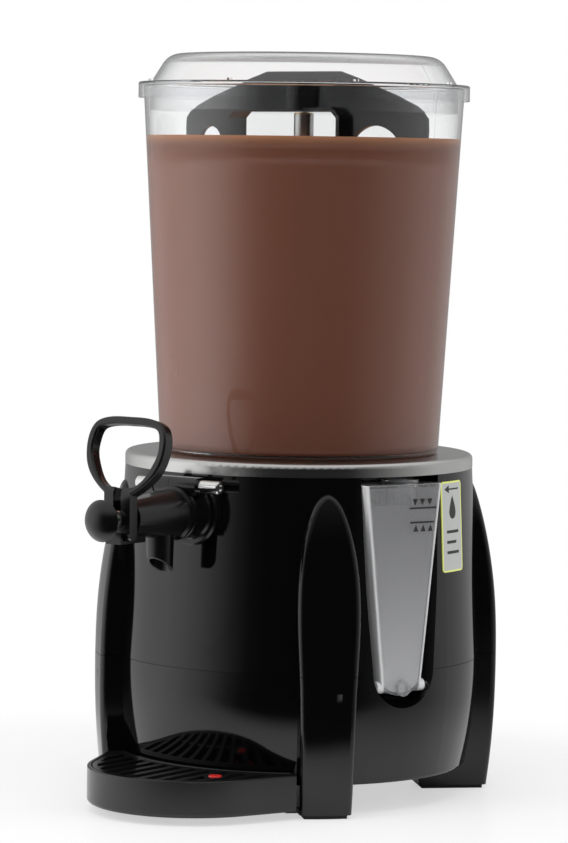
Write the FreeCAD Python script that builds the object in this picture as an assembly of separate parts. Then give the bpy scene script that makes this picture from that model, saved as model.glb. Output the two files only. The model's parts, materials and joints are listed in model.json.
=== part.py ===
import FreeCAD, Part
import math
import os

# Hot chocolate dispenser, 10 litre class. Lengths are in millimetres and angles in degrees.
# Everything is laid out about the bowl's upright axis with the tap towards -Y and the floor at Z = 0.
# When a piece is saved it is shifted back along Y, so that the origin lies under the middle of the machine.

os.makedirs("parts", exist_ok=True)

# ---- fits and clearances, used everywhere ----
running_fit = 0.06          # radial room of a turning or sliding shaft
loose_fit = 0.3             # room between pieces that part from each other
same_place = 0.01            # two places this close count as one
long_edge = 20.0
beyond = 20.0                # how far a cutting block runs past what it cuts
bolt_room = 0.2             # radial room of a screw or stud in its hole
thread_room = 0.05          # radial room of a screw in its pilot hole
seam_gap = 0.4              # open groove between the two housings

# ---- the body: a barrel on four buttress legs ----
body_wall = 3.0
barrel_bottom = 22.7
seam_height = 109.1
barrel_top = 258.1
barrel_seam_radius = 143.8
barrel_foot_draw = 9.2      # each draw is how far a station lies inside the seam's radius
barrel_belly_draw = 3.1
barrel_belly_drop = 8.0
barrel_chest_draw = 3.0
barrel_top_draw = 6.6
barrel_bottom_edge = 3.0
bottom_opening_radius = 88.0
top_ledge = 19.2
seam_tongue = 2.4

leg_count = 4
leg_half_width = 24.3
leg_foot_half_width = 20.0
leg_shoulder_height = 157.0
leg_top = 246.0
leg_root = 46.8             # how deep a leg is rooted inside the seam's radius
leg_foot_reach = 9.7        # each reach is how far a station lies outside the seam's radius
leg_shin_reach = 14.6
leg_shin_height = 55.0
leg_shin_half_width = 21.0
leg_knee_reach = 15.7
leg_knee_height = 104.0
leg_knee_half_width = 22.3
leg_shoulder_reach = 13.6
leg_thigh_reach = 5.8
leg_thigh_height = 208.0
leg_crown_reach = -4.3
leg_arch_angles = (30, 55, 75)
leg_edge_radius = 5.0

foot_pad_height = 3.0
foot_pad_inset = 3.5

boss_inset = 18.3           # the screw columns' circle inside the seam's radius
boss_front_angle = 20.0
boss_rear_angle = 110.0
boss_radius = 5.5
boss_rib = 3.0
boss_web = 8.0
boss_height = 14.0
screw_head_bore = 4.0
screw_radius = 2.0
screw_head_radius = 3.6
screw_head_height = 2.6
screw_length = 18.0

# ---- the bottom cover ----
cover_thickness = 2.0
cover_overlap = 6.0
cover_screw_count = 4
cover_screw_angle = 45.0
cover_screw_length = 4.5
vent_slot_width = 4.0
vent_slot_length = 46.0
vent_slot_start = 24.0
vent_slot_pitch = 10.0
vent_slot_count = 7

# ---- the steel deck ----
deck_overhang = 0.15
deck_height = 10.5
deck_sheet = 1.2
deck_edge_radius = 4.0
deck_joggle_radius = 102.0
deck_opening_radius = 92.0
spigot_height = 4.0
spigot_wall = 3.0
spigot_room = 0.15
stud_inset = 11.2
stud_radius = 2.0
stud_reach = 8.0
stud_weld = 0.1
nut_radius = 4.0
nut_height = 3.2
nut_sides = 6

# ---- the food well, its pipe and the water bath ----
well_sheet = 1.2
well_radius = 88.0
well_depth = 54.6
well_corner_radius = 10.0
well_flange_radius = 100.5
bath_radius = 94.8
bath_sheet = 1.2
bath_floor_height = 106.2
pipe_drop = 28.6            # the tap's axis below the body's top
pipe_bore = 13.0
pipe_wall = 1.2
pipe_entry = 9.0            # how far the pipe reaches into the tap's barrel
pipe_root = 44.0
bath_inlet_bore = 5.0

heater_ring_radius = 62.0
heater_tube_radius = 4.0
heater_lift = 13.8
heater_gap_angle = 30.0
heater_nut_radius = 8.0
heater_nut_height = 4.0
heater_tail = 9.0
cutout_radius = 12.0
cutout_height = 8.0
cutout_offset = 45.0
cutout_tab = 6.0
cutout_tab_thickness = 1.6

# ---- the centre tube, its seals, bushes and the drive shaft ----
tube_radius = 7.8
tube_bore = 6.0
tube_top_drop = 20.9         # the tube's top below the bowl's rim
tube_flange_radius = 13.0
tube_flange_height = 3.0
seal_height = 1.6
seal_radius = 13.0
shaft_radius = 4.0
shaft_drop = 4.9            # the shaft's top below the bowl's rim
shaft_flat = 3.0
upper_bush_height = 10.0
bush_collar = 1.2
bush_collar_radius = 7.4

# ---- the gear motor ----
gear_module = 1.5
gear_dedendum = 1.25         # in modules
gear_addendum = 0.95         # in modules
pinion_teeth = 12
gear_teeth = 36
gear_width = 10.0
gear_backlash = 0.36
tooth_tip_width = 1.0
tooth_root_width = 2.5
gear_room = 1.0
case_wall = 2.6
motor_radius = 24.0
motor_length = 32.0
motor_shaft_radius = 3.0
motor_shaft_depth = 8.0
motor_collar_radius = 8.0
motor_plate = 2.5
motor_plate_height = 62.0
motor_plate_half_length = 104.0
motor_plate_half_width = 28.0
motor_post_radius = 5.0
motor_post_x = 97.0
motor_post_y = 20.0
cover_boss_radius = 7.0
lower_bush_height = 9.0
gear_screw_radius = 1.5
gear_screw_angles = (-70, 70, 160, 200)
gear_screw_head = 2.8
gear_screw_head_height = 2.0

# ---- the bowl and its gasket ----
bowl_foot_radius = 109.9
bowl_rim_radius = 126.3
bowl_height = 286.0
bowl_wall = 3.0
bowl_floor = 3.0
bowl_opening_radius = 81.0
bowl_collar_wall = 3.0
bowl_collar_depth = 14.0
bowl_corner_radius = 6.0
bowl_foot_edge = 2.5
bowl_rim_edge = 1.2
gasket_height = 6.0
gasket_lip = 2.2
gasket_retainer = 1.5

# ---- the lid ----
lid_overhang = 4.0
lid_lip = 2.5
lid_lip_drop = 9.5
lid_wall = 2.5
lid_skirt_room = 2.2
lid_skirt_drop = 19.6
lid_slope_inset = 9.8
lid_shoulder_inset = 23.8
lid_shoulder_rounding = 16.0
lid_rise = 25.1
lid_edge_rounding = 1.4
nub_count = 8
nub_angle = 8.8
nub_radius = 2.2
nub_height = 1.6

# ---- the stirring paddle ----
paddle_thickness = 5.0
paddle_room = 5.0
paddle_floor_room = 4.2
paddle_shoulder_drop = 32.9  # each drop or rise is from the bowl's rim
paddle_half_width = 115.0
paddle_rise = 12.1
paddle_crown_half_width = 35.0
paddle_crown_run = 16.0
paddle_crown_fall = 5.0
paddle_shoulder_bend = ((1.0, 9.0), (-3.0, 14.0), (-10.0, 19.0), (-28.0, 27.0))
paddle_opening_left = 65.5
paddle_opening_right = 39.3
paddle_opening_drop = 18.9
paddle_opening_chamfer = 5.0
chamfer_growth = 0.6          # how much a cut corner grows with a wall round it
paddle_bar_height = 18.0
paddle_flange_depth = 25.0
paddle_flange_wall = 3.0
paddle_edge_radius = 1.2
hub_radius = 15.0
hub_rise = 5.1
hub_drop = 17.9
big_hole_radius = 26.0
small_hole_radius = 10.3
arm_hole_pitch = 47.0
big_hole_inset = 46.0
small_hole_inset = 24.5
first_hole_drop = 22.5
top_small_hole_drop = 8.0
scraper_half_width = 76.0
scraper_floor_room = 5.0
scraper_wall = 12.0
guide_ring_radius = 14.0
guide_ring_height = 12.0

# ---- the tap ----
tap_flange_radius = 26.0
tap_flange_stand = 5.6
tap_flange_root = 10.0
tap_flange_edge = 1.5
tap_neck_radius = 20.0
tap_neck_length = 13.2
socket_room = 0.3
barrel_rear_radius = 19.6
barrel_ridge = 1.2
barrel_ridge_width = 2.4
barrel_ridge_pitch = 5.0
barrel_cone_run = 1.5
barrel_cone_radius = 18.8
barrel_mouth_radius = 14.0
tap_barrel_length = 64.0
barrel_facet_drop = 0.9
seat_wall = 3.0
seat_bore = 9.0
chamber_radius = 12.5
spout_forward = 22.0
spout_radius = 10.0
spout_bore = 8.0
spout_drop = 43.5
spout_cut_rise = 14.0
spout_swell = 0.8
spout_taper = 0.2
spout_bore_drop = 3.0
spout_cut_room = 2.0
spout_cut_back = 7.68
pipe_seal_width = 2.6
pipe_seal_depth = 1.8
gland_depth = 22.0
gland_length = 8.0
gland_fit = 0.05
rod_radius = 3.5
rod_seal_width = 2.4
rod_seal_depth = 1.8
valve_head_radius = 11.0
valve_head_thickness = 4.0
valve_seal_thickness = 2.0
valve_seal_inner = 5.0
rod_collar_radius = 7.0
rod_collar_length = 2.7
knob_radius = 15.75
knob_front_dome = 9.0
knob_back_dome = 4.0
knob_back_bulge = 1.6
knob_stand = 18.5
spring_radius = 7.6
spring_wire = 0.6
spring_turns = 6.0
spring_room = 0.4

pin_radius = 5.0
pin_setback = 1.0
pin_rise = 20.9
pin_left = 39.5
pin_right = 38.6
pin_fit = 0.1
pin_recess = 1.0
pin_recess_radius = 2.5
pin_edge = 0.8
knuckle_radius = 7.6
knuckle_reach = 20.0
knuckle_split = 5.1
knuckle_facet = 1.0
knuckle_web_half_width = 6.08
knuckle_web_room = 2.0
cup_radius = 8.4
cup_bore = 6.6
cup_depth = 2.6
cup_floor = 0.8

lever_pivot_stand = 6.5
lever_pivot_drop = 11.0
lever_plate = 9.0
lever_plate_width = 24.5
lever_neck_rise = 16.5
lever_slot_room = 0.15
lever_slot_drop = 2.5
lever_lean = 0.243
lever_band = 5.8
lever_depth = 10.5
lever_half_width = 36.7
lever_widest_rise = 37.0
lever_top_rise = 58.7
lever_hip_half_width = 22.754
lever_hip_rise = 7.5
lever_flank_half_width = 33.03
lever_flank_rise = 20.0
lever_widest_start = 3.0
lever_widest_end = 7.0
lever_upper_half_width = 36.1495
lever_corner_half_width = 31.562
lever_corner_drop = 5.5
lever_brow_drop = 1.4
lever_inner_drop = 0.5
lever_inner_hip_rise = 4.2
lever_inner_flank_rise = 22.5
lever_inner_widest_start = 3.5
lever_inner_widest_end = 4.5
lever_inner_corner_drop = 5.0
lever_plate_lap = 4.0
lever_slot_reach = 6.0
lever_edge_radius = 1.6
hook_half_width = 7.0
hook_root = 15.0
hook_thickness = 2.4
hook_floor_room = 0.4
hook_end = 2.6
hook_end_room = 1.4
hook_end_drop = 10.5

# ---- the drip tray, grid and float ----
tray_bottom = 6.0
tray_rim = 34.0
tray_wall = 3.7
tray_floor = 2.5
tray_bow_radius = 79.0
tray_bow_inset = 6.8
tray_bow_angle = 67.0
tray_corner_x = 91.3
tray_heel_angle = 35.63
tray_back_inset = 4.77
tray_edge_radius = 1.0
tray_floor_edge = 3.0
ledge_angle = 45.0
ledge_height = 2.7
ledge_reach = 12.0
ledge_width = 14.0
tongue_half_width = 15.0
tongue_bottom = 16.0
tongue_height = 4.0
tongue_reach = 34.0
guide_wall = 4.0
grid_thickness = 5.0
grid_below_rim = 0.4
grid_frame = 4.0
slat_count = 12
slat_pitch = 13.7
slat_width = 5.0
crossbar_width = 5.0
crossbar_drop = 1.5
grid_posts = ((78.0, -9.0), (61.0, 41.0), (22.0, 69.0))  # (x, distance in front of the bow's centre)
crossbar_reach = 41.0
grid_post_radius = 3.0
float_x = 45.0
float_reach = 28.0
float_radius = 5.2
float_foot_radius = 14.0
float_foot_height = 9.5
float_ring_width = 3.5
float_stand = 0.8

# ---- the water hopper in its recess ----
hopper_angle = 71.4
hopper_front_draw = 5.3
hopper_depth = 32.5
hopper_wall = 2.5
hopper_rim_drop = 5.9
hopper_top_half_width = 36.0
hopper_waist_rise = 9.0
hopper_waist_half_width = 19.0
hopper_floor_room = 9.0
hopper_edge_radius = 1.2
recess_back_room = 2.0
recess_top_half_width = 37.0
recess_middle_height = 173.0
recess_middle_half_width = 34.0
recess_low_rise = 24.0
recess_low_half_width = 28.5
recess_bottom = 81.0
recess_port_radius = 14.0
recess_port_lift = 4.0
pivot_setback = 4.5
pivot_rise = 7.0
pivot_pin_radius = 2.5
pivot_ear_radius = 4.8
pivot_ear_inner = 14.0
pivot_engagement = 3.4
cap_radius = 14.5
cap_lateral = 8.0
cap_disc = 2.7
cap_cup_depth = 22.0
cap_wall = 1.6
cap_grip_depth = 1.4
cap_grip_web = 3.0
cap_edge_radius = 0.8
cap_slot_width = 3.0
cap_slot_height = 12.0
port_rise = 5.8
drain_rise = 6.0
drain_lateral = 1.0
drain_head_radius = 6.5
drain_head_thickness = 2.5
drain_stem_radius = 4.0
drain_edge_radius = 0.6
drain_dimple_radius = 3.575
drain_dimple_depth = 0.8
hose_radius = 9.0
hose_wall = 1.5
hose_fold = 1.6
hose_folds = 3

# ---- the label on the body's side ----
label_angle = 94.5
label_width = 31.0
label_height = 70.0
label_top_drop = 6.1
label_thickness = 0.8
label_corner = 3.0

# ---- the control panel sunk in the back ----
panel_sink = 11.8
panel_half_width = 58.0
panel_height = 62.0
panel_seam_room = 11.1
switch_rise = 28.0
power_switch_x = -8.0
mixer_switch_x = 11.0
bezel_width = 15.0
bezel_height = 21.0
bezel_thickness = 1.6
bezel_wall = 2.0
switch_depth = 16.0
blade_offset = 5.0
blade_width = 4.0
blade_thickness = 0.8
blade_length = 7.0
axle_bore_wall = 0.6
rocker_thickness = 9.0
rocker_tilt = 8.0
rocker_room = 0.4
rocker_end_room = 1.4         # the key's ends swing past the bezel's
rocker_crown = 0.4
rocker_shoulder = 0.55        # share of the key's half height
rocker_raised = 1.6           # share of the tilt's rise
rocker_sunk = 0.2
axle_end_room = 0.9
axle_radius = 1.5
inlet_x = -36.0
inlet_width = 27.0
inlet_height = 20.0
inlet_flange = 3.5
inlet_flange_thickness = 2.0
inlet_depth = 18.0
inlet_socket_depth = 15.0
inlet_pin_width = 2.0
inlet_pin_height = 4.0
inlet_pin_spacing = 7.0
inlet_pin_stagger = 1.5
inlet_pin_room = 0.6
inlet_pin_root = 3.0
inlet_pin_drop = 3.0
inlet_tab = 6.0
inlet_corner = 2.0
inlet_side_wall = 1.5
inlet_top_wall = 2.0
inlet_plug_room = 2.0
inlet_tongue_drop = 1.0
dial_x = 36.0
dial_rise = 36.0
dial_radius = 12.0
dial_length = 10.5
dial_groove = 1.2
dial_flutes = 12
dial_shaft_radius = 3.0
dial_shaft_flat = 2.2
dial_skirt = 2.0
dial_skirt_step = 1.5
dial_skirt_slope = 1.0
dial_top_draw = 2.2
dial_edge = 0.8
dial_edge_draw = 1.0
dial_groove_inset = 0.6
dial_pointer_width = 1.0
dial_pointer_depth = 0.6
dial_bore_depth = 6.0
dial_shaft_short = 0.5
dial_flat_lap = 0.5
thermostat_size = 22.0
thermostat_depth = 24.0
bulb_radius = 3.0
bulb_length = 50.0
capillary_radius = 1.0
capillary_run = 10.0
lamp_rise = 11.0
lamp_radius = 4.5
lamp_head = 2.5
lamp_edge_radius = 1.2
lamp_depth = 12.0
lamp_stem_radius = 3.5

# ---- heights and places that follow from the sizes above ----
barrel_foot_radius = barrel_seam_radius - barrel_foot_draw
barrel_belly_radius = barrel_seam_radius - barrel_belly_draw
barrel_chest_radius = barrel_seam_radius - barrel_chest_draw
barrel_top_radius = barrel_seam_radius - barrel_top_draw
top_opening_radius = barrel_top_radius - top_ledge
leg_back_radius = barrel_seam_radius - leg_root
leg_foot_radius = barrel_seam_radius + leg_foot_reach
leg_shin_radius = barrel_seam_radius + leg_shin_reach
leg_knee_radius = barrel_seam_radius + leg_knee_reach
leg_shoulder_radius = barrel_seam_radius + leg_shoulder_reach
leg_thigh_radius = barrel_seam_radius + leg_thigh_reach
leg_crown_radius = barrel_seam_radius + leg_crown_reach
boss_circle_radius = barrel_seam_radius - boss_inset
stud_circle_radius = barrel_top_radius - stud_inset
deck_radius = barrel_top_radius + deck_overhang
deck_top = barrel_top + deck_height
well_floor_height = deck_top - well_depth
heater_height = bath_floor_height + heater_lift
bowl_seat = deck_top + loose_fit
bowl_rim_height = bowl_seat + bowl_height
bowl_slope = (bowl_rim_radius - bowl_foot_radius) / bowl_height
tube_top = bowl_rim_height - tube_top_drop
shaft_top = bowl_rim_height - shaft_drop
lid_seat = bowl_rim_height + loose_fit
lid_flange_radius = bowl_rim_radius + lid_overhang
lid_skirt_radius = bowl_rim_radius - bowl_wall - lid_skirt_room
lid_slope_radius = lid_flange_radius - lid_slope_inset
lid_shoulder_radius = lid_flange_radius - lid_shoulder_inset
lid_top = bowl_rim_height + lid_rise
paddle_shoulder_height = bowl_rim_height - paddle_shoulder_drop
paddle_top = bowl_rim_height + paddle_rise
paddle_opening_top = bowl_rim_height - paddle_opening_drop
hub_top = bowl_rim_height + hub_rise
hub_bottom = bowl_rim_height - hub_drop
case_bottom = motor_plate_height + motor_plate
gear_bottom = case_bottom + case_wall + gear_room
gear_top = gear_bottom + gear_width
case_top = gear_top + gear_room
gear_pitch_radius = gear_module * gear_teeth / 2
pinion_pitch_radius = gear_module * pinion_teeth / 2
gear_distance = gear_pitch_radius + pinion_pitch_radius
pipe_height = barrel_top - pipe_drop
pipe_radius = pipe_bore + pipe_wall
tap_flange_front = barrel_top_radius + tap_flange_stand
tap_neck_front = tap_flange_front + tap_neck_length
pipe_end = tap_neck_front + pipe_entry
barrel_rear = tap_neck_front + socket_room
barrel_mouth = tap_neck_front + tap_barrel_length
spout_position = tap_neck_front + spout_forward
spout_tip = pipe_height - spout_drop
gland_rear = barrel_mouth - gland_depth
pin_forward = tap_neck_front - pin_setback
pin_height = pipe_height + pin_rise
lever_pivot_forward = barrel_mouth + lever_pivot_stand
lever_pivot_height = pipe_height - lever_pivot_drop
lever_neck_height = pipe_height + lever_neck_rise
lever_widest_height = lever_neck_height + lever_widest_rise
lever_top_height = lever_neck_height + lever_top_rise
hook_rear = barrel_mouth - hook_root
hook_end_height = pipe_height - hook_end_drop
knob_back = lever_pivot_forward + knob_stand
seat_front = pipe_end + socket_room + seat_wall
knob_front = knob_back + knob_back_dome + knob_front_dome
grid_top = tray_rim - grid_below_rim
grid_bottom = grid_top - grid_thickness
tray_back_radius = barrel_seam_radius - tray_back_inset
tray_bow_centre = barrel_seam_radius - tray_bow_inset
tray_front = tray_bow_centre + tray_bow_radius
tray_heel_x = tray_back_radius * math.sin(math.radians(tray_heel_angle))
tray_heel_y = tray_back_radius * math.cos(math.radians(tray_heel_angle))
crossbar_forward = tray_bow_centre + crossbar_reach
float_forward = tray_bow_centre + float_reach
hopper_front = barrel_seam_radius - hopper_front_draw
hopper_back = hopper_front - hopper_depth
hopper_middle_depth = (hopper_front + hopper_back) / 2
hopper_rim = barrel_top - hopper_rim_drop
hopper_bottom = recess_bottom + hopper_floor_room
hopper_waist_height = hopper_bottom + hopper_waist_rise
recess_back = hopper_back - recess_back_room
recess_low_height = recess_bottom + recess_low_rise
pivot_depth = hopper_front - pivot_setback
pivot_height = hopper_bottom + pivot_rise
port_height = bath_floor_height + port_rise
drain_height = hopper_bottom + drain_rise
label_top = barrel_top - label_top_drop
label_bottom = label_top - label_height
panel_depth = barrel_seam_radius - panel_sink
panel_top = seam_height - panel_seam_room
panel_bottom = panel_top - panel_height
switch_height = panel_bottom + switch_rise
dial_height = panel_bottom + dial_rise
lamp_height = panel_bottom + lamp_rise
axis_shift = (knob_front - barrel_seam_radius) / 2


# ---- small helpers ----
def at(x, y, z):
    return FreeCAD.Vector(x, y, z)


def save(name, shape):
    moved = shape.copy()
    moved.translate(at(0, axis_shift, 0))
    moved.exportStep("parts/" + name + ".step")


def line(start, end):
    return Part.LineSegment(start, end).toShape()


def arc(start, middle, end):
    return Part.Arc(start, middle, end).toShape()


def plane_face(points):
    return Part.Face(Part.makePolygon(points + [points[0]]))


def turned(profile):
    """A solid turned about the upright axis from (radius, height) points."""
    outline = plane_face([at(radius, 0, height) for radius, height in profile])
    return outline.revolve(at(0, 0, 0), at(0, 0, 1), 360)


def turned_edges(edges):
    outline = Part.Face(Part.Wire(edges))
    return outline.revolve(at(0, 0, 0), at(0, 0, 1), 360)


def disc(radius, bottom, top, centre=(0, 0)):
    return Part.makeCylinder(radius, top - bottom, at(centre[0], centre[1], bottom))


def ring(outer, inner, bottom, top, centre=(0, 0)):
    return disc(outer, bottom, top, centre).cut(disc(inner, bottom, top, centre))


def rod(radius, start, end):
    return Part.makeCylinder(radius, (end - start).Length, start, end - start)


def block(low_x, high_x, low_y, high_y, low_z, high_z):
    corner = at(low_x, low_y, low_z)
    return Part.makeBox(high_x - low_x, high_y - low_y, high_z - low_z, corner)


def laid_forward(shape, height=0.0):
    """Turns an upright shape so that its +Z points to the front (-Y), at the given height."""
    moved = shape.copy()
    moved.rotate(at(0, 0, 0), at(1, 0, 0), 90)
    moved.translate(at(0, 0, height))
    return moved


def spun(shape, angle):
    moved = shape.copy()
    moved.rotate(at(0, 0, 0), at(0, 0, 1), angle)
    return moved


def shifted(shape, x, y, z):
    moved = shape.copy()
    moved.translate(at(x, y, z))
    return moved


def round_off(shape, radius, wanted):
    """Rounds the edges whose middle points pass the test."""
    chosen = []
    for edge in shape.Edges:
        middle = edge.valueAt((edge.FirstParameter + edge.LastParameter) / 2)
        if wanted(edge, middle):
            chosen.append(edge)
    return shape.makeFillet(radius, chosen)


def joined(shapes):
    whole = shapes[0].fuse(shapes[1:])
    return whole.removeSplitter()


def group(solids):
    return Part.makeCompound(solids)


def front_place(angle, radius):
    """The (x, y) of a point at an angle from the front towards +X."""
    turn = math.radians(angle)
    return radius * math.sin(turn), -radius * math.cos(turn)


def column_angles():
    """Where the screw columns and deck studs stand, clear of the legs, the recess and the back panel."""
    return [boss_front_angle, boss_rear_angle, -boss_rear_angle, -boss_front_angle]


def column_places(radius):
    return [front_place(angle, radius) for angle in column_angles()]


def leg_angles():
    return [(k + 0.5) * 360 / leg_count for k in range(leg_count)]


# ---- the two housings ----
def barrel_solid(inset, bottom, top):
    """The barrel of the body, its skin moved in by the inset, between two heights."""
    foot = at(barrel_foot_radius - inset, 0, barrel_bottom)
    belly_height = (barrel_bottom + seam_height) / 2 - barrel_belly_drop
    belly = at(barrel_belly_radius - inset, 0, belly_height)
    seam = at(barrel_seam_radius - inset, 0, seam_height)
    chest = at(barrel_chest_radius - inset, 0, (seam_height + barrel_top) / 2)
    crown = at(barrel_top_radius - inset, 0, barrel_top)
    edges = [
        line(at(0, 0, barrel_bottom), foot),
        arc(foot, belly, seam),
        arc(seam, chest, crown),
        line(crown, at(0, 0, barrel_top)),
        line(at(0, 0, barrel_top), at(0, 0, barrel_bottom)),
    ]
    solid = turned_edges(edges)
    if inset == 0:
        solid = round_off(
            solid, barrel_bottom_edge, lambda e, m: abs(m.z - barrel_bottom) < same_place and e.Closed
        )
    return solid.common(disc(leg_knee_radius, bottom, top))


def leg_solid(inset, bottom):
    """One leg on the front (-Y) side: a tall pointed arch bulging out of the barrel."""
    rear = -(leg_back_radius + inset)

    def place(x, z):
        return at(x, rear, z)

    right = [
        place(leg_foot_half_width - inset, bottom),
        place(leg_shin_half_width - inset, leg_shin_height),
        place(leg_knee_half_width - inset, leg_knee_height),
        place(leg_half_width - inset, leg_shoulder_height),
    ]
    rise = leg_top - inset - leg_shoulder_height
    for angle in leg_arch_angles:
        turn = math.radians(angle)
        half = (leg_half_width - inset) * math.cos(turn)
        right.append(place(half, leg_shoulder_height + rise * math.sin(turn)))
    left = [at(-point.x, point.y, point.z) for point in reversed(right)]
    outline_curve = Part.BSplineCurve()
    outline_curve.interpolate(right + [place(0, leg_top - inset)] + left)
    arch = outline_curve.toShape()
    outline = Part.Face(Part.Wire([arch, line(left[-1], right[0])]))
    prism = outline.extrude(at(0, rear, 0))

    foot = at(leg_foot_radius - inset, 0, bottom)
    top = at(leg_crown_radius - inset, 0, leg_top + 1)
    skin_curve = Part.BSplineCurve()
    skin_curve.interpolate(
        [
            foot,
            at(leg_shin_radius - inset, 0, leg_shin_height),
            at(leg_knee_radius - inset, 0, leg_knee_height),
            at(leg_shoulder_radius - inset, 0, leg_shoulder_height),
            at(leg_thigh_radius - inset, 0, leg_thigh_height),
            top,
        ]
    )
    skin = turned_edges(
        [
            line(at(0, 0, bottom), foot),
            skin_curve.toShape(),
            line(top, at(0, 0, leg_top + 1)),
            line(at(0, 0, leg_top + 1), at(0, 0, bottom)),
        ]
    )
    leg = prism.common(skin)
    if inset == 0:
        outer = leg_crown_radius - body_wall
        leg = round_off(
            leg,
            leg_edge_radius,
            lambda e, m: math.hypot(m.x, m.y) > outer and e.Length > leg_foot_half_width * 3,
        )
    return leg


def body_solid(inset, bottom):
    barrel = barrel_solid(inset, barrel_bottom, barrel_top)
    leg = leg_solid(inset, bottom)
    legs = [spun(leg, angle) for angle in leg_angles()]
    return joined([barrel] + legs)


def recess_solid(grow, back, front, top):
    """The recess for the water hopper, as a solid along +Y turned to its place."""
    def place(x, z):
        return at(x, -back, z)

    rise = (recess_top_half_width - recess_middle_half_width) / (barrel_top - recess_middle_height)
    top_half = recess_middle_half_width + rise * (top - recess_middle_height) + grow
    middle_half = recess_middle_half_width + grow
    low_half = recess_low_half_width + grow
    edges = [
        line(place(-top_half, top), place(-middle_half, recess_middle_height)),
        line(place(-middle_half, recess_middle_height), place(-low_half, recess_low_height)),
        arc(
            place(-low_half, recess_low_height),
            place(0, recess_bottom - grow),
            place(low_half, recess_low_height),
        ),
        line(place(low_half, recess_low_height), place(middle_half, recess_middle_height)),
        line(place(middle_half, recess_middle_height), place(top_half, top)),
        line(place(top_half, top), place(-top_half, top)),
    ]
    outline = Part.Face(Part.Wire(edges))
    return spun(outline.extrude(at(0, back - front, 0)), hopper_angle)


def panel_solid(grow, depth):
    """The sunk panel in the back, from the given depth outwards."""
    half = panel_half_width + grow
    return block(-half, half, depth, leg_knee_radius, panel_bottom - grow, panel_top + grow)


def housing_bosses():
    """Screw columns of both housings, with a rib to the wall."""
    columns = []
    foot = barrel_bottom + 1
    top = seam_height + seam_tongue + boss_height
    for x, y in column_places(boss_circle_radius):
        columns.append(disc(boss_radius, foot, top, (x, y)))
    rib = block(
        -boss_rib / 2, boss_rib / 2, -barrel_seam_radius, -boss_circle_radius, foot, top
    )
    for angle in column_angles():
        columns.append(spun(rib, angle))
    return columns


def housing_hollow():
    """The space inside both housings, left free of the recess's and panel's walls and the columns."""
    leg = leg_solid(body_wall, foot_pad_height + body_wall)
    barrel = barrel_solid(body_wall, barrel_bottom + body_wall, barrel_top - body_wall)
    hollow = joined([barrel] + [spun(leg, angle) for angle in leg_angles()])
    kept = [recess_solid(body_wall, recess_back - body_wall, leg_knee_radius, barrel_top)]
    kept.append(panel_solid(body_wall, panel_depth - body_wall))
    kept.extend(housing_bosses())
    return hollow.cut(kept)


def tap_hole():
    start = at(0, -bath_radius, pipe_height)
    return rod(pipe_radius + loose_fit, start, at(0, -leg_knee_radius, pipe_height))


def lower_housing(outer, hollow):
    """The lower shell; its wall's inner half stands up as a tongue inside the upper shell."""
    half = body_wall / 2
    tongue_top = seam_height + seam_tongue
    skin = outer.common(disc(leg_knee_radius, 0, seam_height - seam_gap))
    inside = body_solid(half, foot_pad_height)
    inside = inside.common(disc(leg_knee_radius, seam_height - boss_height, tongue_top))
    lower = skin.fuse(inside)
    opening = disc(bottom_opening_radius, barrel_bottom - 1, barrel_bottom + body_wall + 1)
    recess = recess_solid(0, recess_back, leg_knee_radius, deck_top)
    for tool in [hollow, opening, recess, panel_solid(0, panel_depth)]:
        lower = lower.cut(tool)
    lower = lower.fuse(motor_posts() + tray_ledges() + [tray_guide()])
    holes = [port_opening()]
    for x, y in column_places(boss_circle_radius):
        holes.append(disc(screw_head_bore, barrel_bottom - 1, tongue_top - boss_web, (x, y)))
        holes.append(disc(screw_radius + bolt_room, barrel_bottom, tongue_top + 1, (x, y)))
    for x, y in cover_screw_places():
        holes.append(disc(gear_screw_radius + thread_room, 0, barrel_bottom + body_wall + 1, (x, y)))
    for sign in (-1, 1):
        holes.append(pivot_bore(sign))
    holes.extend(panel_cutouts())
    holes.extend(post_bores())
    return lower.cut(holes)


def upper_housing(outer, hollow):
    """The upper shell, rebated at its foot for the lower shell's tongue."""
    half = body_wall / 2
    slot_top = seam_height + seam_tongue + thread_room
    upper = outer.common(disc(leg_knee_radius, seam_height, barrel_top))
    slot = body_solid(half - thread_room, foot_pad_height)
    upper = upper.cut(slot.common(disc(leg_knee_radius, seam_height - boss_height, slot_top)))
    top_opening = disc(top_opening_radius, barrel_top - body_wall - 1, barrel_top + 1)
    for tool in [hollow, top_opening]:
        upper = upper.cut(tool)
    inner_skirt = deck_radius - deck_sheet - spigot_room
    spigot = ring(
        inner_skirt, inner_skirt - spigot_wall, barrel_top - body_wall, barrel_top + spigot_height
    )
    upper = upper.fuse(spigot)
    holes = [recess_solid(0, recess_back, leg_knee_radius, deck_top), tap_hole(), port_opening()]
    for x, y in column_places(boss_circle_radius):
        depth = seam_height + seam_tongue - boss_web + screw_length + 1
        holes.append(disc(screw_radius + thread_room, seam_height - 1, depth, (x, y)))
    for x, y in column_places(stud_circle_radius):
        holes.append(disc(stud_radius + bolt_room, barrel_top - body_wall - 1, barrel_top + 1, (x, y)))
    return upper.cut(holes)


def housing_screws():
    screws = []
    for x, y in column_places(boss_circle_radius):
        head_top = seam_height + seam_tongue - boss_web
        head = disc(screw_head_radius, head_top - screw_head_height, head_top, (x, y))
        shank = disc(screw_radius, head_top, head_top + screw_length, (x, y))
        screws.append(head.fuse(shank))
    return group(screws)


def rubber_feet():
    pads = []
    pad = leg_solid(foot_pad_inset, 0).common(disc(leg_knee_radius, 0, foot_pad_height))
    for angle in leg_angles():
        pads.append(spun(pad, angle))
    return group(pads)


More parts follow.
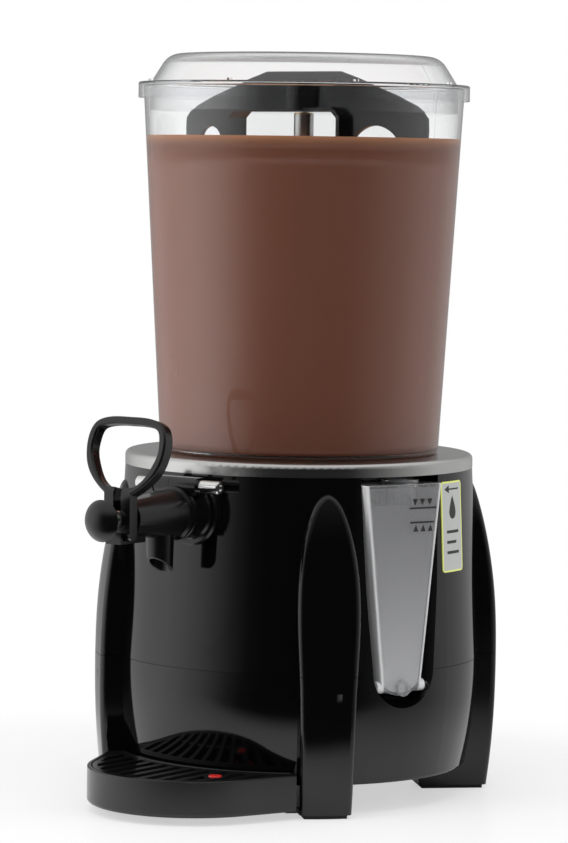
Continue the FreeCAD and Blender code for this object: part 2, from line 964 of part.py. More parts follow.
# ---- the bottom cover ----
def cover_screw_places():
    radius = bottom_opening_radius + cover_overlap / 2
    step = 360 / cover_screw_count
    return [front_place(cover_screw_angle + step * k, radius) for k in range(cover_screw_count)]


def bottom_cover():
    radius = bottom_opening_radius + cover_overlap
    plate = disc(radius, barrel_bottom - cover_thickness, barrel_bottom)
    locator = ring(
        bottom_opening_radius - loose_fit,
        bottom_opening_radius - loose_fit - cover_thickness,
        barrel_bottom - cover_thickness,
        barrel_bottom + body_wall,
    )
    plate = joined([plate, locator])
    cuts = []
    for side in (-1, 1):
        for k in range(vent_slot_count):
            x = (k - (vent_slot_count - 1) / 2) * vent_slot_pitch
            middle = side * (vent_slot_start + vent_slot_length / 2)
            low = middle - vent_slot_length / 2
            cuts.append(
                block(
                    x - vent_slot_width / 2,
                    x + vent_slot_width / 2,
                    low,
                    low + vent_slot_length,
                    barrel_bottom - cover_thickness - 1,
                    barrel_bottom + 1,
                )
            )
    for x, y in cover_screw_places():
        cuts.append(disc(gear_screw_radius + bolt_room, 0, barrel_bottom + 1, (x, y)))
    return plate.cut(cuts)


def cover_screws():
    screws = []
    bottom = barrel_bottom - cover_thickness
    for x, y in cover_screw_places():
        head = disc(gear_screw_head, bottom - gear_screw_head_height, bottom, (x, y))
        shank = disc(gear_screw_radius, bottom, bottom + cover_screw_length, (x, y))
        screws.append(head.fuse(shank))
    return group(screws)


# ---- the steel deck ----
def steel_deck():
    inner_radius = deck_radius - deck_sheet
    shoulder = deck_top - deck_edge_radius
    bend = math.sqrt(0.5)
    inner_bend = deck_edge_radius - deck_sheet

    def outer_bend(reach, radius):
        return at(
            deck_radius - deck_edge_radius + radius * reach,
            0,
            shoulder + radius * bend,
        )

    under = deck_top - deck_sheet
    step = deck_joggle_radius - deck_sheet
    edges = [
        line(at(inner_radius, 0, barrel_top), at(deck_radius, 0, barrel_top)),
        line(at(deck_radius, 0, barrel_top), at(deck_radius, 0, shoulder)),
        arc(
            at(deck_radius, 0, shoulder),
            outer_bend(bend, deck_edge_radius),
            at(deck_radius - deck_edge_radius, 0, deck_top),
        ),
        line(at(deck_radius - deck_edge_radius, 0, deck_top), at(step, 0, deck_top)),
        line(at(step, 0, deck_top), at(step, 0, under)),
        line(at(step, 0, under), at(deck_opening_radius, 0, under)),
        line(at(deck_opening_radius, 0, under), at(deck_opening_radius, 0, under - deck_sheet)),
        line(at(deck_opening_radius, 0, under - deck_sheet), at(deck_joggle_radius, 0, under - deck_sheet)),
        line(at(deck_joggle_radius, 0, under - deck_sheet), at(deck_joggle_radius, 0, under)),
        line(at(deck_joggle_radius, 0, under), at(deck_radius - deck_edge_radius, 0, under)),
        arc(
            at(deck_radius - deck_edge_radius, 0, under),
            outer_bend(bend, inner_bend),
            at(inner_radius, 0, shoulder),
        ),
        line(at(inner_radius, 0, shoulder), at(inner_radius, 0, barrel_top)),
    ]
    deck = turned_edges(edges)
    studs = []
    for x, y in column_places(stud_circle_radius):
        studs.append(disc(stud_radius, barrel_top - body_wall - stud_reach, under + stud_weld, (x, y)))
    return joined([deck] + studs)


def deck_nuts():
    nuts = []
    top = barrel_top - body_wall
    for x, y in column_places(stud_circle_radius):
        corners = []
        for k in range(nut_sides):
            turn = math.radians(360 * k / nut_sides)
            across = nut_radius * math.cos(turn)
            along = nut_radius * math.sin(turn)
            corners.append(at(x + across, y + along, top - nut_height))
        prism = plane_face(corners).extrude(at(0, 0, nut_height))
        nuts.append(prism.cut(disc(stud_radius + thread_room, top - nut_height, top, (x, y))))
    return group(nuts)


# ---- the food well, its outlet pipe and the water bath ----
def food_well():
    outer = well_radius + well_sheet
    flange_bottom = deck_top - well_sheet
    floor_bottom = well_floor_height - well_sheet
    pan = turned(
        [
            (0, floor_bottom),
            (outer, floor_bottom),
            (outer, flange_bottom),
            (well_flange_radius, flange_bottom),
            (well_flange_radius, deck_top),
            (0, deck_top),
        ]
    )
    pan = round_off(
        pan, well_corner_radius + well_sheet, lambda e, m: e.Closed and abs(m.z - floor_bottom) < same_place
    )
    hollow = disc(well_radius, well_floor_height, deck_top + well_corner_radius)
    hollow = round_off(
        hollow, well_corner_radius, lambda e, m: e.Closed and abs(m.z - well_floor_height) < same_place
    )
    tube_hole = disc(tube_radius + running_fit, floor_bottom - 1, well_floor_height + 1)
    outlet = rod(pipe_bore, at(0, 0, pipe_height), at(0, -outer - 1, pipe_height))
    return pan.cut([hollow, tube_hole, outlet])


def outlet_pipe():
    start = at(0, -pipe_root, pipe_height)
    end = at(0, -pipe_end, pipe_height)
    pipe = rod(pipe_radius, start, end).cut(rod(pipe_bore, start, end))
    return pipe.cut(disc(well_radius + well_sheet, well_floor_height, deck_top))


def heater_leg_places():
    places = []
    for sign in (-1, 1):
        angle = 180 + sign * heater_gap_angle / 2
        places.append(front_place(angle, heater_ring_radius))
    return places


def water_bath():
    outer = bath_radius + bath_sheet
    floor_bottom = bath_floor_height - bath_sheet
    rim = deck_top - 2 * deck_sheet
    tank = turned(
        [
            (0, floor_bottom),
            (outer, floor_bottom),
            (outer, rim - bath_sheet),
            (deck_joggle_radius, rim - bath_sheet),
            (deck_joggle_radius, rim),
            (bath_radius, rim),
            (bath_radius, bath_floor_height),
            (0, bath_floor_height),
        ]
    )
    cuts = [disc(tube_radius + running_fit, floor_bottom - 1, bath_floor_height + 1)]
    cuts.append(rod(pipe_radius + running_fit, at(0, 0, pipe_height), at(0, -outer - 1, pipe_height)))
    for x, y in heater_leg_places():
        cuts.append(disc(heater_tube_radius + running_fit, floor_bottom - 1, bath_floor_height + 1, (x, y)))
    inlet_x, inlet_y = front_place(hopper_angle, outer + 1)
    cuts.append(rod(bath_inlet_bore, at(0, 0, port_height), at(inlet_x, inlet_y, port_height)))
    return tank.cut(cuts)


def heating_element():
    """A tubular heater: an open ring with two straight tails through the bath's floor."""
    circle = Part.Wire(
        [
            Part.Circle(
                at(heater_ring_radius, 0, heater_height), at(0, 1, 0), heater_tube_radius
            ).toShape()
        ]
    )
    sweep = 360 - heater_gap_angle
    loop = Part.Face(circle).revolve(at(0, 0, 0), at(0, 0, 1), sweep)
    loop = spun(loop, 90 + heater_gap_angle / 2)
    floor_bottom = bath_floor_height - bath_sheet
    pieces = [loop]
    for x, y in heater_leg_places():
        low = floor_bottom - heater_tail
        pieces.append(Part.makeSphere(heater_tube_radius, at(x, y, heater_height)))
        pieces.append(disc(heater_tube_radius, low, heater_height, (x, y)))
        pieces.append(disc(heater_nut_radius, floor_bottom - heater_nut_height, floor_bottom, (x, y)))
    return joined(pieces)


def safety_cutout():
    top = bath_floor_height - bath_sheet
    body = disc(cutout_radius, top - cutout_height, top, (-cutout_offset, 0))
    tab = block(
        -cutout_offset - cutout_tab,
        -cutout_offset + cutout_tab,
        -cutout_tab_thickness / 2,
        cutout_tab_thickness / 2,
        top - cutout_height - cutout_tab,
        top - cutout_height,
    )
    return joined([body, tab])


# ---- the centre tube, its seals and the drive shaft ----
def centre_tube():
    bottom = bath_floor_height - bath_sheet - tube_flange_height
    floor = bath_floor_height - bath_sheet
    tube = disc(tube_radius, bottom, tube_top)
    flange = disc(tube_flange_radius, bottom, floor)
    collar_bottom = well_floor_height
    collar = disc(tube_flange_radius, collar_bottom, collar_bottom + tube_flange_height)
    tube = joined([tube, flange, collar])
    return tube.cut(disc(tube_bore, bottom, tube_top))


def tube_seals():
    well_bottom = well_floor_height - well_sheet
    under_well = ring(seal_radius, tube_radius, well_bottom - seal_height, well_bottom)
    in_bath = ring(
        seal_radius, tube_radius, bath_floor_height, bath_floor_height + seal_height
    )
    return group([under_well, in_bath])


def upper_bush():
    sleeve = disc(tube_bore, tube_top - upper_bush_height, tube_top)
    collar = disc(bush_collar_radius, tube_top, tube_top + bush_collar)
    return joined([sleeve, collar]).cut(
        disc(shaft_radius + running_fit, tube_top - upper_bush_height, tube_top + bush_collar)
    )


def shaft_flats(grow, bottom, top):
    """What is left outside the two flats of the shaft's top, for cutting."""
    reach = shaft_radius * 2
    flat = shaft_flat + grow
    return [
        block(-reach, reach, flat, reach, bottom, top),
        block(-reach, reach, -reach, -flat, bottom, top),
    ]


def drive_shaft():
    bottom = case_bottom + loose_fit
    shaft = disc(shaft_radius, bottom, shaft_top)
    shaft = shaft.cut(shaft_flats(0, hub_bottom - bush_collar, shaft_top + 1))
    return shaft.cut(shaft_flats(0, gear_bottom, gear_top))


# ---- the gear motor ----
def toothed_wheel(teeth, start_angle):
    """A spur wheel about the upright axis, one tooth centred on the start angle."""
    pitch = gear_module * teeth / 2
    root = pitch - gear_dedendum * gear_module
    tip = pitch + gear_addendum * gear_module
    pitch_width = math.pi * gear_module / 2 - gear_backlash
    corners = []
    for k in range(teeth):
        middle = math.radians(start_angle + 360 * k / teeth)
        for radius, side_width in (
            (root, -tooth_root_width),
            (pitch, -pitch_width),
            (tip, -tooth_tip_width),
            (tip, tooth_tip_width),
            (pitch, pitch_width),
            (root, tooth_root_width),
        ):
            turn = middle + side_width / 2 / radius
            corners.append(at(radius * math.cos(turn), radius * math.sin(turn), gear_bottom))
    return plane_face(corners).extrude(at(0, 0, gear_width))


def drive_gear():
    bore = disc(shaft_radius, gear_bottom, gear_top)
    bore = bore.cut(shaft_flats(0, gear_bottom, gear_top))
    return toothed_wheel(gear_teeth, 90).cut(bore)


def motor_pinion():
    """The pinion with the motor's own shaft."""
    half_pitch = 180 / pinion_teeth
    wheel = toothed_wheel(pinion_teeth, -90 + half_pitch)
    wheel = shifted(wheel, 0, gear_distance, 0)
    shaft_bottom = motor_plate_height - motor_shaft_depth
    shaft = disc(motor_shaft_radius, shaft_bottom, gear_top, (0, gear_distance))
    return joined([wheel, shaft])


def case_outline(grow, bottom, top):
    gear_room_radius = gear_pitch_radius + gear_module + gear_room + grow
    pinion_room_radius = pinion_pitch_radius + gear_module + gear_room + grow
    large = disc(gear_room_radius, bottom, top)
    small = disc(pinion_room_radius, bottom, top, (0, gear_distance))
    bridge = block(-pinion_room_radius, pinion_room_radius, 0, gear_distance, bottom, top)
    return joined([large, small, bridge])


def gear_screw_places():
    radius = gear_pitch_radius + gear_module + gear_room + case_wall + gear_screw_radius
    places = []
    for angle in gear_screw_angles:
        turn = math.radians(angle)
        places.append((radius * math.cos(turn), radius * math.sin(turn)))
    return places


def screw_ears(bottom, top):
    ears = []
    for x, y in gear_screw_places():
        ears.append(disc(gear_screw_radius + case_wall, bottom, top, (x, y)))
    return ears


def gear_case():
    case = joined([case_outline(case_wall, case_bottom, case_top)] + screw_ears(case_bottom, case_top))
    cuts = [case_outline(0, case_bottom + case_wall, case_top + 1)]
    cuts.append(disc(shaft_radius + running_fit, case_bottom - 1, case_top))
    cuts.append(disc(motor_shaft_radius + loose_fit, case_bottom - 1, case_top, (0, gear_distance)))
    for x, y in gear_screw_places():
        cuts.append(disc(gear_screw_radius + bolt_room, case_bottom - 1, case_top + 1, (x, y)))
    return case.cut(cuts)


def gear_cover():
    top = case_top + case_wall
    cover = [case_outline(case_wall, case_top, top)] + screw_ears(case_top, top)
    cover.append(disc(cover_boss_radius, case_top, case_top + lower_bush_height))
    cover = joined(cover)
    cuts = [disc(shaft_radius + bush_collar, case_top - 1, case_top + lower_bush_height + 1)]
    for x, y in gear_screw_places():
        cuts.append(disc(gear_screw_radius + bolt_room, case_top - 1, top + 1, (x, y)))
    return cover.cut(cuts)


def lower_bush():
    return ring(
        shaft_radius + bush_collar,
        shaft_radius + running_fit,
        case_top,
        case_top + lower_bush_height,
    )


def gearbox_screws():
    screws = []
    top = case_top + case_wall
    for x, y in gear_screw_places():
        head = disc(gear_screw_head, top, top + gear_screw_head_height, (x, y))
        shank = disc(gear_screw_radius, motor_plate_height, top, (x, y))
        screws.append(head.fuse(shank))
    for x, y in post_places():
        plate_top = motor_plate_height + motor_plate
        head = disc(gear_screw_head, plate_top, plate_top + gear_screw_head_height, (x, y))
        shank = disc(gear_screw_radius, plate_top - cover_screw_length * 2, plate_top, (x, y))
        screws.append(head.fuse(shank))
    return group(screws)


def post_places():
    places = []
    for sign_x in (-1, 1):
        for sign_y in (-1, 1):
            places.append((sign_x * motor_post_x, sign_y * motor_post_y))
    return places


def motor_posts():
    foot = barrel_bottom + body_wall / 2
    return [disc(motor_post_radius, foot, motor_plate_height, place) for place in post_places()]


def post_bores():
    depth = motor_plate_height + motor_plate - cover_screw_length * 2 - 1
    bore = gear_screw_radius + thread_room
    return [disc(bore, depth, motor_plate_height + 1, place) for place in post_places()]


def motor_mount():
    top = motor_plate_height + motor_plate
    strip = block(
        -motor_plate_half_length,
        motor_plate_half_length,
        -motor_plate_half_width,
        motor_plate_half_width,
        motor_plate_height,
        top,
    )
    pad_half = motor_radius + case_wall
    pad = block(
        -pad_half, pad_half, 0, gear_distance + pinion_pitch_radius + case_wall * 2, motor_plate_height, top
    )
    pad_low = disc(gear_pitch_radius + case_wall * 3, motor_plate_height, top)
    plate = joined([strip, pad, pad_low])
    cuts = [disc(motor_collar_radius + bolt_room, motor_plate_height - 1, top + 1, (0, gear_distance))]
    for x, y in gear_screw_places() + post_places():
        cuts.append(disc(gear_screw_radius + bolt_room, motor_plate_height - 1, top + 1, (x, y)))
    return plate.cut(cuts)


def motor():
    centre = (0, gear_distance)
    bottom = motor_plate_height - motor_length
    can = disc(motor_radius, bottom, motor_plate_height, centre)
    can = round_off(can, 2.0, lambda e, m: e.Closed and abs(m.z - bottom) < same_place)
    collar = disc(motor_collar_radius, motor_plate_height, motor_plate_height + motor_plate, centre)
    tail_cap = disc(motor_collar_radius, bottom - 2, bottom, centre)
    can = joined([can, collar, tail_cap])
    bore_bottom = motor_plate_height - motor_shaft_depth - loose_fit
    return can.cut(
        disc(motor_shaft_radius + running_fit, bore_bottom, motor_plate_height + motor_plate, centre)
    )


# ---- the bowl, its gasket and the lid ----
def bowl_inner_radius(height):
    return bowl_foot_radius - bowl_wall + bowl_slope * (height - bowl_seat)


def bowl():
    collar_outer = bowl_opening_radius + bowl_collar_wall
    collar_bottom = bowl_seat - bowl_collar_depth
    retainer_top = collar_bottom + gasket_lip
    outer = turned(
        [
            (0, collar_bottom),
            (collar_outer + gasket_retainer, collar_bottom),
            (collar_outer + gasket_retainer, retainer_top),
            (collar_outer, retainer_top),
            (collar_outer, bowl_seat),
            (bowl_foot_radius, bowl_seat),
            (bowl_rim_radius, bowl_rim_height),
            (0, bowl_rim_height),
        ]
    )
    outer = round_off(
        outer,
        bowl_foot_edge,
        lambda e, m: e.Closed and abs(m.z - bowl_seat) < same_place and edge_radius(e) > collar_outer + 1,
    )
    floor_top = bowl_seat + bowl_floor
    hollow = turned(
        [
            (0, floor_top),
            (bowl_inner_radius(floor_top), floor_top),
            (bowl_inner_radius(bowl_rim_height + bowl_wall), bowl_rim_height + bowl_wall),
            (0, bowl_rim_height + bowl_wall),
        ]
    )
    hollow = round_off(
        hollow, bowl_corner_radius, lambda e, m: e.Closed and abs(m.z - floor_top) < same_place
    )
    opening = disc(bowl_opening_radius, collar_bottom - 1, floor_top + 1)
    shell = outer.cut([hollow, opening])
    return round_off(
        shell, bowl_rim_edge, lambda e, m: e.Closed and abs(m.z - bowl_rim_height) < same_place
    )


def edge_radius(edge):
    point = edge.valueAt(edge.FirstParameter)
    return math.hypot(point.x, point.y)


def bowl_gasket():
    collar_outer = bowl_opening_radius + bowl_collar_wall
    bottom = bowl_seat - bowl_collar_depth + gasket_lip
    reach = well_radius - loose_fit
    top = bottom + gasket_height
    return turned(
        [
            (collar_outer, bottom),
            (reach - 1, bottom),
            (reach, bottom + gasket_height / 3),
            (reach - 1, (bottom + top) / 2),
            (reach, top - gasket_height / 3),
            (reach - 1, top),
            (collar_outer, top),
        ]
    )


def lid():
    """A shallow dome with a rounded shoulder, a lip outside the bowl's rim and a skirt inside it."""
    lip_bottom = bowl_rim_height - lid_lip_drop
    lip_top = lid_seat + lid_wall
    skirt_bottom = lid_seat - lid_skirt_drop
    skirt_inner = lid_skirt_radius - lid_wall
    ceiling = lid_top - lid_wall
    slope = (lid_top - lip_top) / (lid_slope_radius - lid_shoulder_radius)
    wall_drop = lid_wall * math.hypot(1, slope)
    under_slope = lip_top + slope * (lid_slope_radius - skirt_inner) - wall_drop
    shoulder_inner = lid_slope_radius - (ceiling + wall_drop - lip_top) / slope
    body = turned(
        [
            (lid_flange_radius, lip_bottom),
            (lid_flange_radius, lip_top),
            (lid_slope_radius, lip_top),
            (lid_shoulder_radius, lid_top),
            (0, lid_top),
            (0, ceiling),
            (shoulder_inner, ceiling),
            (skirt_inner, under_slope),
            (skirt_inner, skirt_bottom),
            (lid_skirt_radius, skirt_bottom),
            (lid_skirt_radius, lid_seat),
            (lid_flange_radius - lid_lip, lid_seat),
            (lid_flange_radius - lid_lip, lip_bottom),
        ]
    )
    body = round_off(body, lid_shoulder_rounding, lambda e, m: e.Closed and abs(m.z - lid_top) < same_place)
    body = round_off(
        body, lid_shoulder_rounding - lid_wall, lambda e, m: e.Closed and abs(m.z - ceiling) < same_place
    )
    body = round_off(
        body,
        lid_edge_rounding,
        lambda e, m: e.Closed and abs(m.z - lip_top) < same_place and edge_radius(e) > lid_slope_radius + 1,
    )
    nubs = []
    for k in range(nub_count):
        x, y = front_place(nub_angle + 360 * k / nub_count, (lid_slope_radius + lid_flange_radius) / 2)
        nubs.append(disc(nub_radius, lip_top - 1, lip_top + nub_height, (x, y)))
    return joined([body] + nubs)


# ---- the stirring paddle ----
def upright_slab(points, half_thickness):
    """A slab of the given outline in the X-Z plane, centred on Y = 0."""
    outline = plane_face([at(x, -half_thickness, z) for x, z in points])
    return outline.extrude(at(0, 2 * half_thickness, 0))


def mirrored(points):
    left = [(-x, z) for x, z in reversed(points)]
    return points + left


def paddle_edge(height):
    """Half-width of the paddle at a height, held off the bowl's inside."""
    return bowl_inner_radius(height) - paddle_room


def paddle_opening(bottom, half_depth, wall=0):
    """The frame's window with cut corners, grown all round by a wall."""
    right = paddle_opening_right + wall
    left = paddle_opening_left + wall
    low = bottom - wall
    high = paddle_opening_top + wall
    chamfer = paddle_opening_chamfer + wall * chamfer_growth
    points = [
        (right, low + chamfer),
        (right, high - chamfer),
        (right - chamfer, high),
        (-left + chamfer, high),
        (-left, high - chamfer),
        (-left, low + chamfer),
        (-left + chamfer, low),
        (right - chamfer, low),
    ]
    return upright_slab(points, half_depth)


def paddle_holes():
    """Large and small holes down both arms, in turn; the right arm starts with a large one."""
    holes = []
    floor = bowl_seat + bowl_floor + paddle_floor_room + paddle_bar_height
    first_height = paddle_shoulder_height - first_hole_drop
    height = first_height
    large_side = 1
    while height > floor + big_hole_radius:
        for side in (1, -1):
            radius = big_hole_radius if side == large_side else small_hole_radius
            inset = big_hole_inset if side == large_side else small_hole_inset
            x = side * (paddle_edge(height) - inset)
            top_small = side != large_side and height == first_height
            z = paddle_shoulder_height - top_small_hole_drop if top_small else height
            holes.append(rod(radius, at(x, -paddle_thickness, z), at(x, paddle_thickness, z)))
        height -= arm_hole_pitch
        large_side = -large_side
    return holes


def agitator_paddle():
    bottom = bowl_seat + bowl_floor + paddle_floor_room
    bar_top = bottom + paddle_bar_height
    half = paddle_thickness / 2
    right = [
        (paddle_edge(bottom) - bowl_corner_radius, bottom),
        (paddle_edge(bottom + bowl_corner_radius), bottom + bowl_corner_radius),
        (paddle_edge(paddle_shoulder_height), paddle_shoulder_height),
    ]
    for reach, rise in paddle_shoulder_bend:
        right.append((paddle_half_width + reach, paddle_shoulder_height + rise))
    right.append((paddle_crown_half_width + paddle_crown_run, paddle_top - paddle_crown_fall))
    right.append((paddle_crown_half_width, paddle_top))
    frame = upright_slab(mirrored(right), half)
    frame = round_off(frame, paddle_edge_radius, lambda e, m: abs(abs(m.y) - half) < same_place)
    frame = frame.cut([paddle_opening(bar_top, paddle_thickness)] + paddle_holes())

    flange_outer = paddle_opening(bar_top, paddle_flange_depth / 2)
    opening = flange_outer.copy()
    grown = paddle_opening(bar_top, paddle_flange_depth / 2, paddle_flange_wall)
    flange = grown.cut(opening)

    scraper_bottom = well_floor_height + scraper_floor_room
    scraper_half = min(scraper_half_width, bowl_opening_radius - loose_fit * 4)
    low = scraper_bottom + well_corner_radius
    scraper = upright_slab(
        mirrored(
            [
                (scraper_half - well_corner_radius, scraper_bottom),
                (scraper_half, low),
                (scraper_half, bar_top - paddle_bar_height / 2),
            ]
        ),
        half,
    )
    scraper_inner = scraper_half - scraper_wall
    window = upright_slab(
        mirrored(
            [
                (scraper_inner - well_corner_radius / 2, scraper_bottom + scraper_wall),
                (scraper_inner, low + scraper_wall),
                (scraper_inner, bottom + 2),
            ]
        ),
        half * 2,
    )
    scraper = scraper.cut(window)
    guides = []
    for height in (scraper_bottom, bar_top - guide_ring_height):
        guides.append(disc(guide_ring_radius, height, height + guide_ring_height))
    hub = disc(hub_radius, hub_bottom, hub_top)
    whole = joined([frame, flange, scraper, hub] + guides)
    return whole.cut(hub_bores(scraper_bottom))


def hub_bores(scraper_bottom):
    """The way for the tube through the guide rings, and the socket on the shaft's flats."""
    tube_way = disc(tube_radius + loose_fit * 2, scraper_bottom - 1, hub_bottom)
    socket_top = shaft_top + loose_fit * 2
    socket = disc(shaft_radius + pin_fit, hub_bottom - 1, socket_top)
    socket = socket.cut(shaft_flats(pin_fit, hub_bottom - 1, socket_top + 1))
    return [tube_way, socket]


# ---- the tap ----
def tap_turned(profile):
    """A solid turned about the tap's axis from (radius, distance in front of the bowl's axis) points."""
    return laid_forward(turned(profile), pipe_height)


def tap_cylinder(radius, start, end):
    return rod(radius, at(0, -start, pipe_height), at(0, -end, pipe_height))


def pin_cylinder(radius, low_x, high_x):
    return rod(radius, at(low_x, -pin_forward, pin_height), at(high_x, -pin_forward, pin_height))


def knuckle(low_x, high_x):
    """One half of the pin's sleeve, reaching down to the tap's neck, with a flat along its top."""
    sleeve = pin_cylinder(knuckle_radius, low_x, high_x)
    half = knuckle_web_half_width
    web_bottom = pipe_height + pipe_radius
    web = block(low_x, high_x, -pin_forward - half, -pin_forward + half, web_bottom, pin_height)
    reach = tap_neck_radius
    web = web.common(block(-reach, reach, -barrel_mouth, -boss_circle_radius, web_bottom, pin_height))
    top = pin_height + knuckle_radius - knuckle_facet
    cap = block(low_x - 1, high_x + 1, -pin_forward - beyond, -pin_forward + beyond, top, top + beyond)
    return joined([sleeve, web]).cut(cap)


def knuckle_room(low_x, high_x):
    half = knuckle_radius + loose_fit
    sleeve = pin_cylinder(half, low_x, high_x)
    web_bottom = pipe_height + pipe_radius - knuckle_web_room
    web = block(low_x, high_x, -pin_forward - half, -pin_forward + half, web_bottom, pin_height)
    return sleeve.fuse(web)


def tap_socket():
    bore = pipe_radius + socket_room
    split = -knuckle_split
    flange = tap_turned(
        [
            (0, barrel_top_radius - tap_flange_root),
            (tap_flange_radius, barrel_top_radius - tap_flange_root),
            (tap_flange_radius, tap_flange_front - tap_flange_edge),
            (tap_flange_radius - tap_flange_edge, tap_flange_front),
            (tap_neck_radius + tap_flange_edge, tap_flange_front),
            (tap_neck_radius, tap_flange_front + tap_flange_edge),
            (tap_neck_radius, tap_neck_front),
            (0, tap_neck_front),
        ]
    )
    left = knuckle(-knuckle_reach, split - loose_fit / 2)
    cup = pin_cylinder(cup_radius, -knuckle_reach - cup_depth, -knuckle_reach)
    cup = cup.cut(pin_cylinder(cup_bore, -knuckle_reach - cup_depth, -knuckle_reach - cup_floor))
    socket = joined([flange, left, cup])
    body = barrel_solid(0, barrel_bottom, barrel_top)
    right_room = knuckle_room(split, knuckle_reach + 1)
    front_half = block(
        split, knuckle_reach + 1, -barrel_mouth, -tap_flange_front, spout_tip, lever_top_height
    )
    in_front = right_room.common(front_half)
    pin_bore = pin_cylinder(pin_radius + pin_fit, -knuckle_reach - cup_depth - 1, knuckle_reach + 1)
    return socket.cut([body, tap_cylinder(bore, boss_circle_radius, barrel_mouth), pin_bore, in_front])


def tap_barrel():
    rear = barrel_rear
    ridge_low = barrel_rear_radius
    ridge_high = barrel_rear_radius + barrel_ridge
    first = rear + 1
    second = first + barrel_ridge_pitch
    cone_start = second + barrel_ridge_width + barrel_cone_run
    outside = tap_turned(
        [
            (0, rear),
            (ridge_low, rear),
            (ridge_high, first),
            (ridge_high, first + barrel_ridge_width),
            (ridge_low, first + barrel_ridge_width + 1),
            (ridge_low, second - 1),
            (ridge_high, second),
            (ridge_high, second + barrel_ridge_width),
            (barrel_cone_radius, cone_start),
            (barrel_mouth_radius, barrel_mouth),
            (0, barrel_mouth),
        ]
    )
    spout_top = pipe_height - seat_bore
    spout_outer = spout_radius + spout_swell
    spout = disc(spout_outer, spout_tip, spout_top, (0, -spout_position))
    taper = Part.makeCone(
        spout_radius - spout_taper, spout_outer, spout_top - spout_tip, at(0, -spout_position, spout_tip)
    )
    spout = spout.common(taper)
    right = knuckle(-knuckle_split + loose_fit / 2, knuckle_reach)
    hook = tap_hook()
    whole = joined([outside, spout, right, hook])
    facet_rear = pipe_height + barrel_cone_radius - barrel_facet_drop
    facet_front = pipe_height + barrel_mouth_radius - barrel_facet_drop
    facet = plane_face(
        [
            at(-beyond, -cone_start, facet_rear),
            at(-beyond, -barrel_mouth - 1, facet_front),
            at(-beyond, -barrel_mouth - 1, facet_rear + beyond),
            at(-beyond, -cone_start, facet_rear + beyond),
        ]
    ).extrude(at(2 * beyond, 0, 0))
    facet = facet.cut(knuckle_room(-beyond, beyond))
    cuts = [facet]
    cuts.append(tap_cylinder(pipe_radius + socket_room, rear - beyond, pipe_end + socket_room))
    cuts.append(tap_cylinder(seat_bore, pipe_end, seat_front + 1))
    cuts.append(tap_cylinder(chamber_radius, seat_front, barrel_mouth + 1))
    seal_start = pipe_end - pipe_seal_width - 1
    cuts.append(
        tap_cylinder(pipe_radius + pipe_seal_depth, seal_start, seal_start + pipe_seal_width)
    )
    cuts.append(disc(spout_bore, spout_tip - 1, pipe_height - spout_bore_drop, (0, -spout_position)))
    low = spout_tip
    front = spout_position + spout_outer + spout_cut_room
    back = spout_position - spout_cut_back
    quill = plane_face(
        [
            at(-beyond, -back, low),
            at(-beyond, -front, low + spout_cut_rise),
            at(-beyond, -front, low - beyond),
            at(-beyond, -back, low - beyond),
        ]
    ).extrude(at(2 * beyond, 0, 0))
    cuts.append(quill)
    split = -knuckle_split
    left_room = knuckle_room(-knuckle_reach - cup_depth - 1, split)
    cuts.append(left_room)
    cuts.append(pin_cylinder(pin_radius + pin_fit, split - 1, knuckle_reach + 1))
    return whole.cut(cuts)


def tap_hook():
    """The tongue under the mouth that carries the lever's toe."""
    toe = lever_plate / 2
    floor_top = lever_pivot_height - toe - hook_floor_room
    end_inner = lever_pivot_forward + toe + hook_end_room
    floor = block(
        -hook_half_width,
        hook_half_width,
        -end_inner - hook_end,
        -hook_rear,
        floor_top - hook_thickness,
        floor_top,
    )
    end = block(
        -hook_half_width,
        hook_half_width,
        -end_inner - hook_end,
        -end_inner,
        floor_top - hook_thickness,
        hook_end_height,
    )
    web = block(
        -hook_half_width,
        hook_half_width,
        -barrel_mouth,
        -hook_rear,
        floor_top - hook_thickness,
        pipe_height - chamber_radius - 0.5,
    )
    return joined([floor, end, web])


def pipe_seal():
    start = pipe_end - pipe_seal_width - 1
    outer = tap_cylinder(pipe_radius + pipe_seal_depth, start, start + pipe_seal_width)
    return outer.cut(tap_cylinder(pipe_radius, start, start + pipe_seal_width))


def tap_pin():
    pin = pin_cylinder(pin_radius, -pin_left, pin_right)
    pin = pin.makeChamfer(pin_edge, [e for e in pin.Edges if e.Closed])
    for low, high in ((-pin_left, -pin_left + pin_recess), (pin_right - pin_recess, pin_right)):
        pin = pin.cut(pin_cylinder(pin_recess_radius, low, high))
    return pin


def tap_rod_gland():
    gland = tap_cylinder(chamber_radius - gland_fit, gland_rear, gland_rear + gland_length)
    bore = tap_cylinder(rod_radius + running_fit, gland_rear, gland_rear + gland_length)
    groove = tap_cylinder(
        rod_radius + rod_seal_depth, gland_rear, gland_rear + rod_seal_width
    )
    return gland.cut([bore, groove])


def tap_rod_seal():
    outer = tap_cylinder(rod_radius + rod_seal_depth, gland_rear, gland_rear + rod_seal_width)
    bore = tap_cylinder(rod_radius + running_fit, gland_rear, gland_rear + rod_seal_width)
    return outer.cut(bore)


def tap_valve_seal():
    start = seat_front + loose_fit
    outer = tap_cylinder(valve_head_radius, start, start + valve_seal_thickness)
    return outer.cut(tap_cylinder(valve_seal_inner, start, start + valve_seal_thickness))


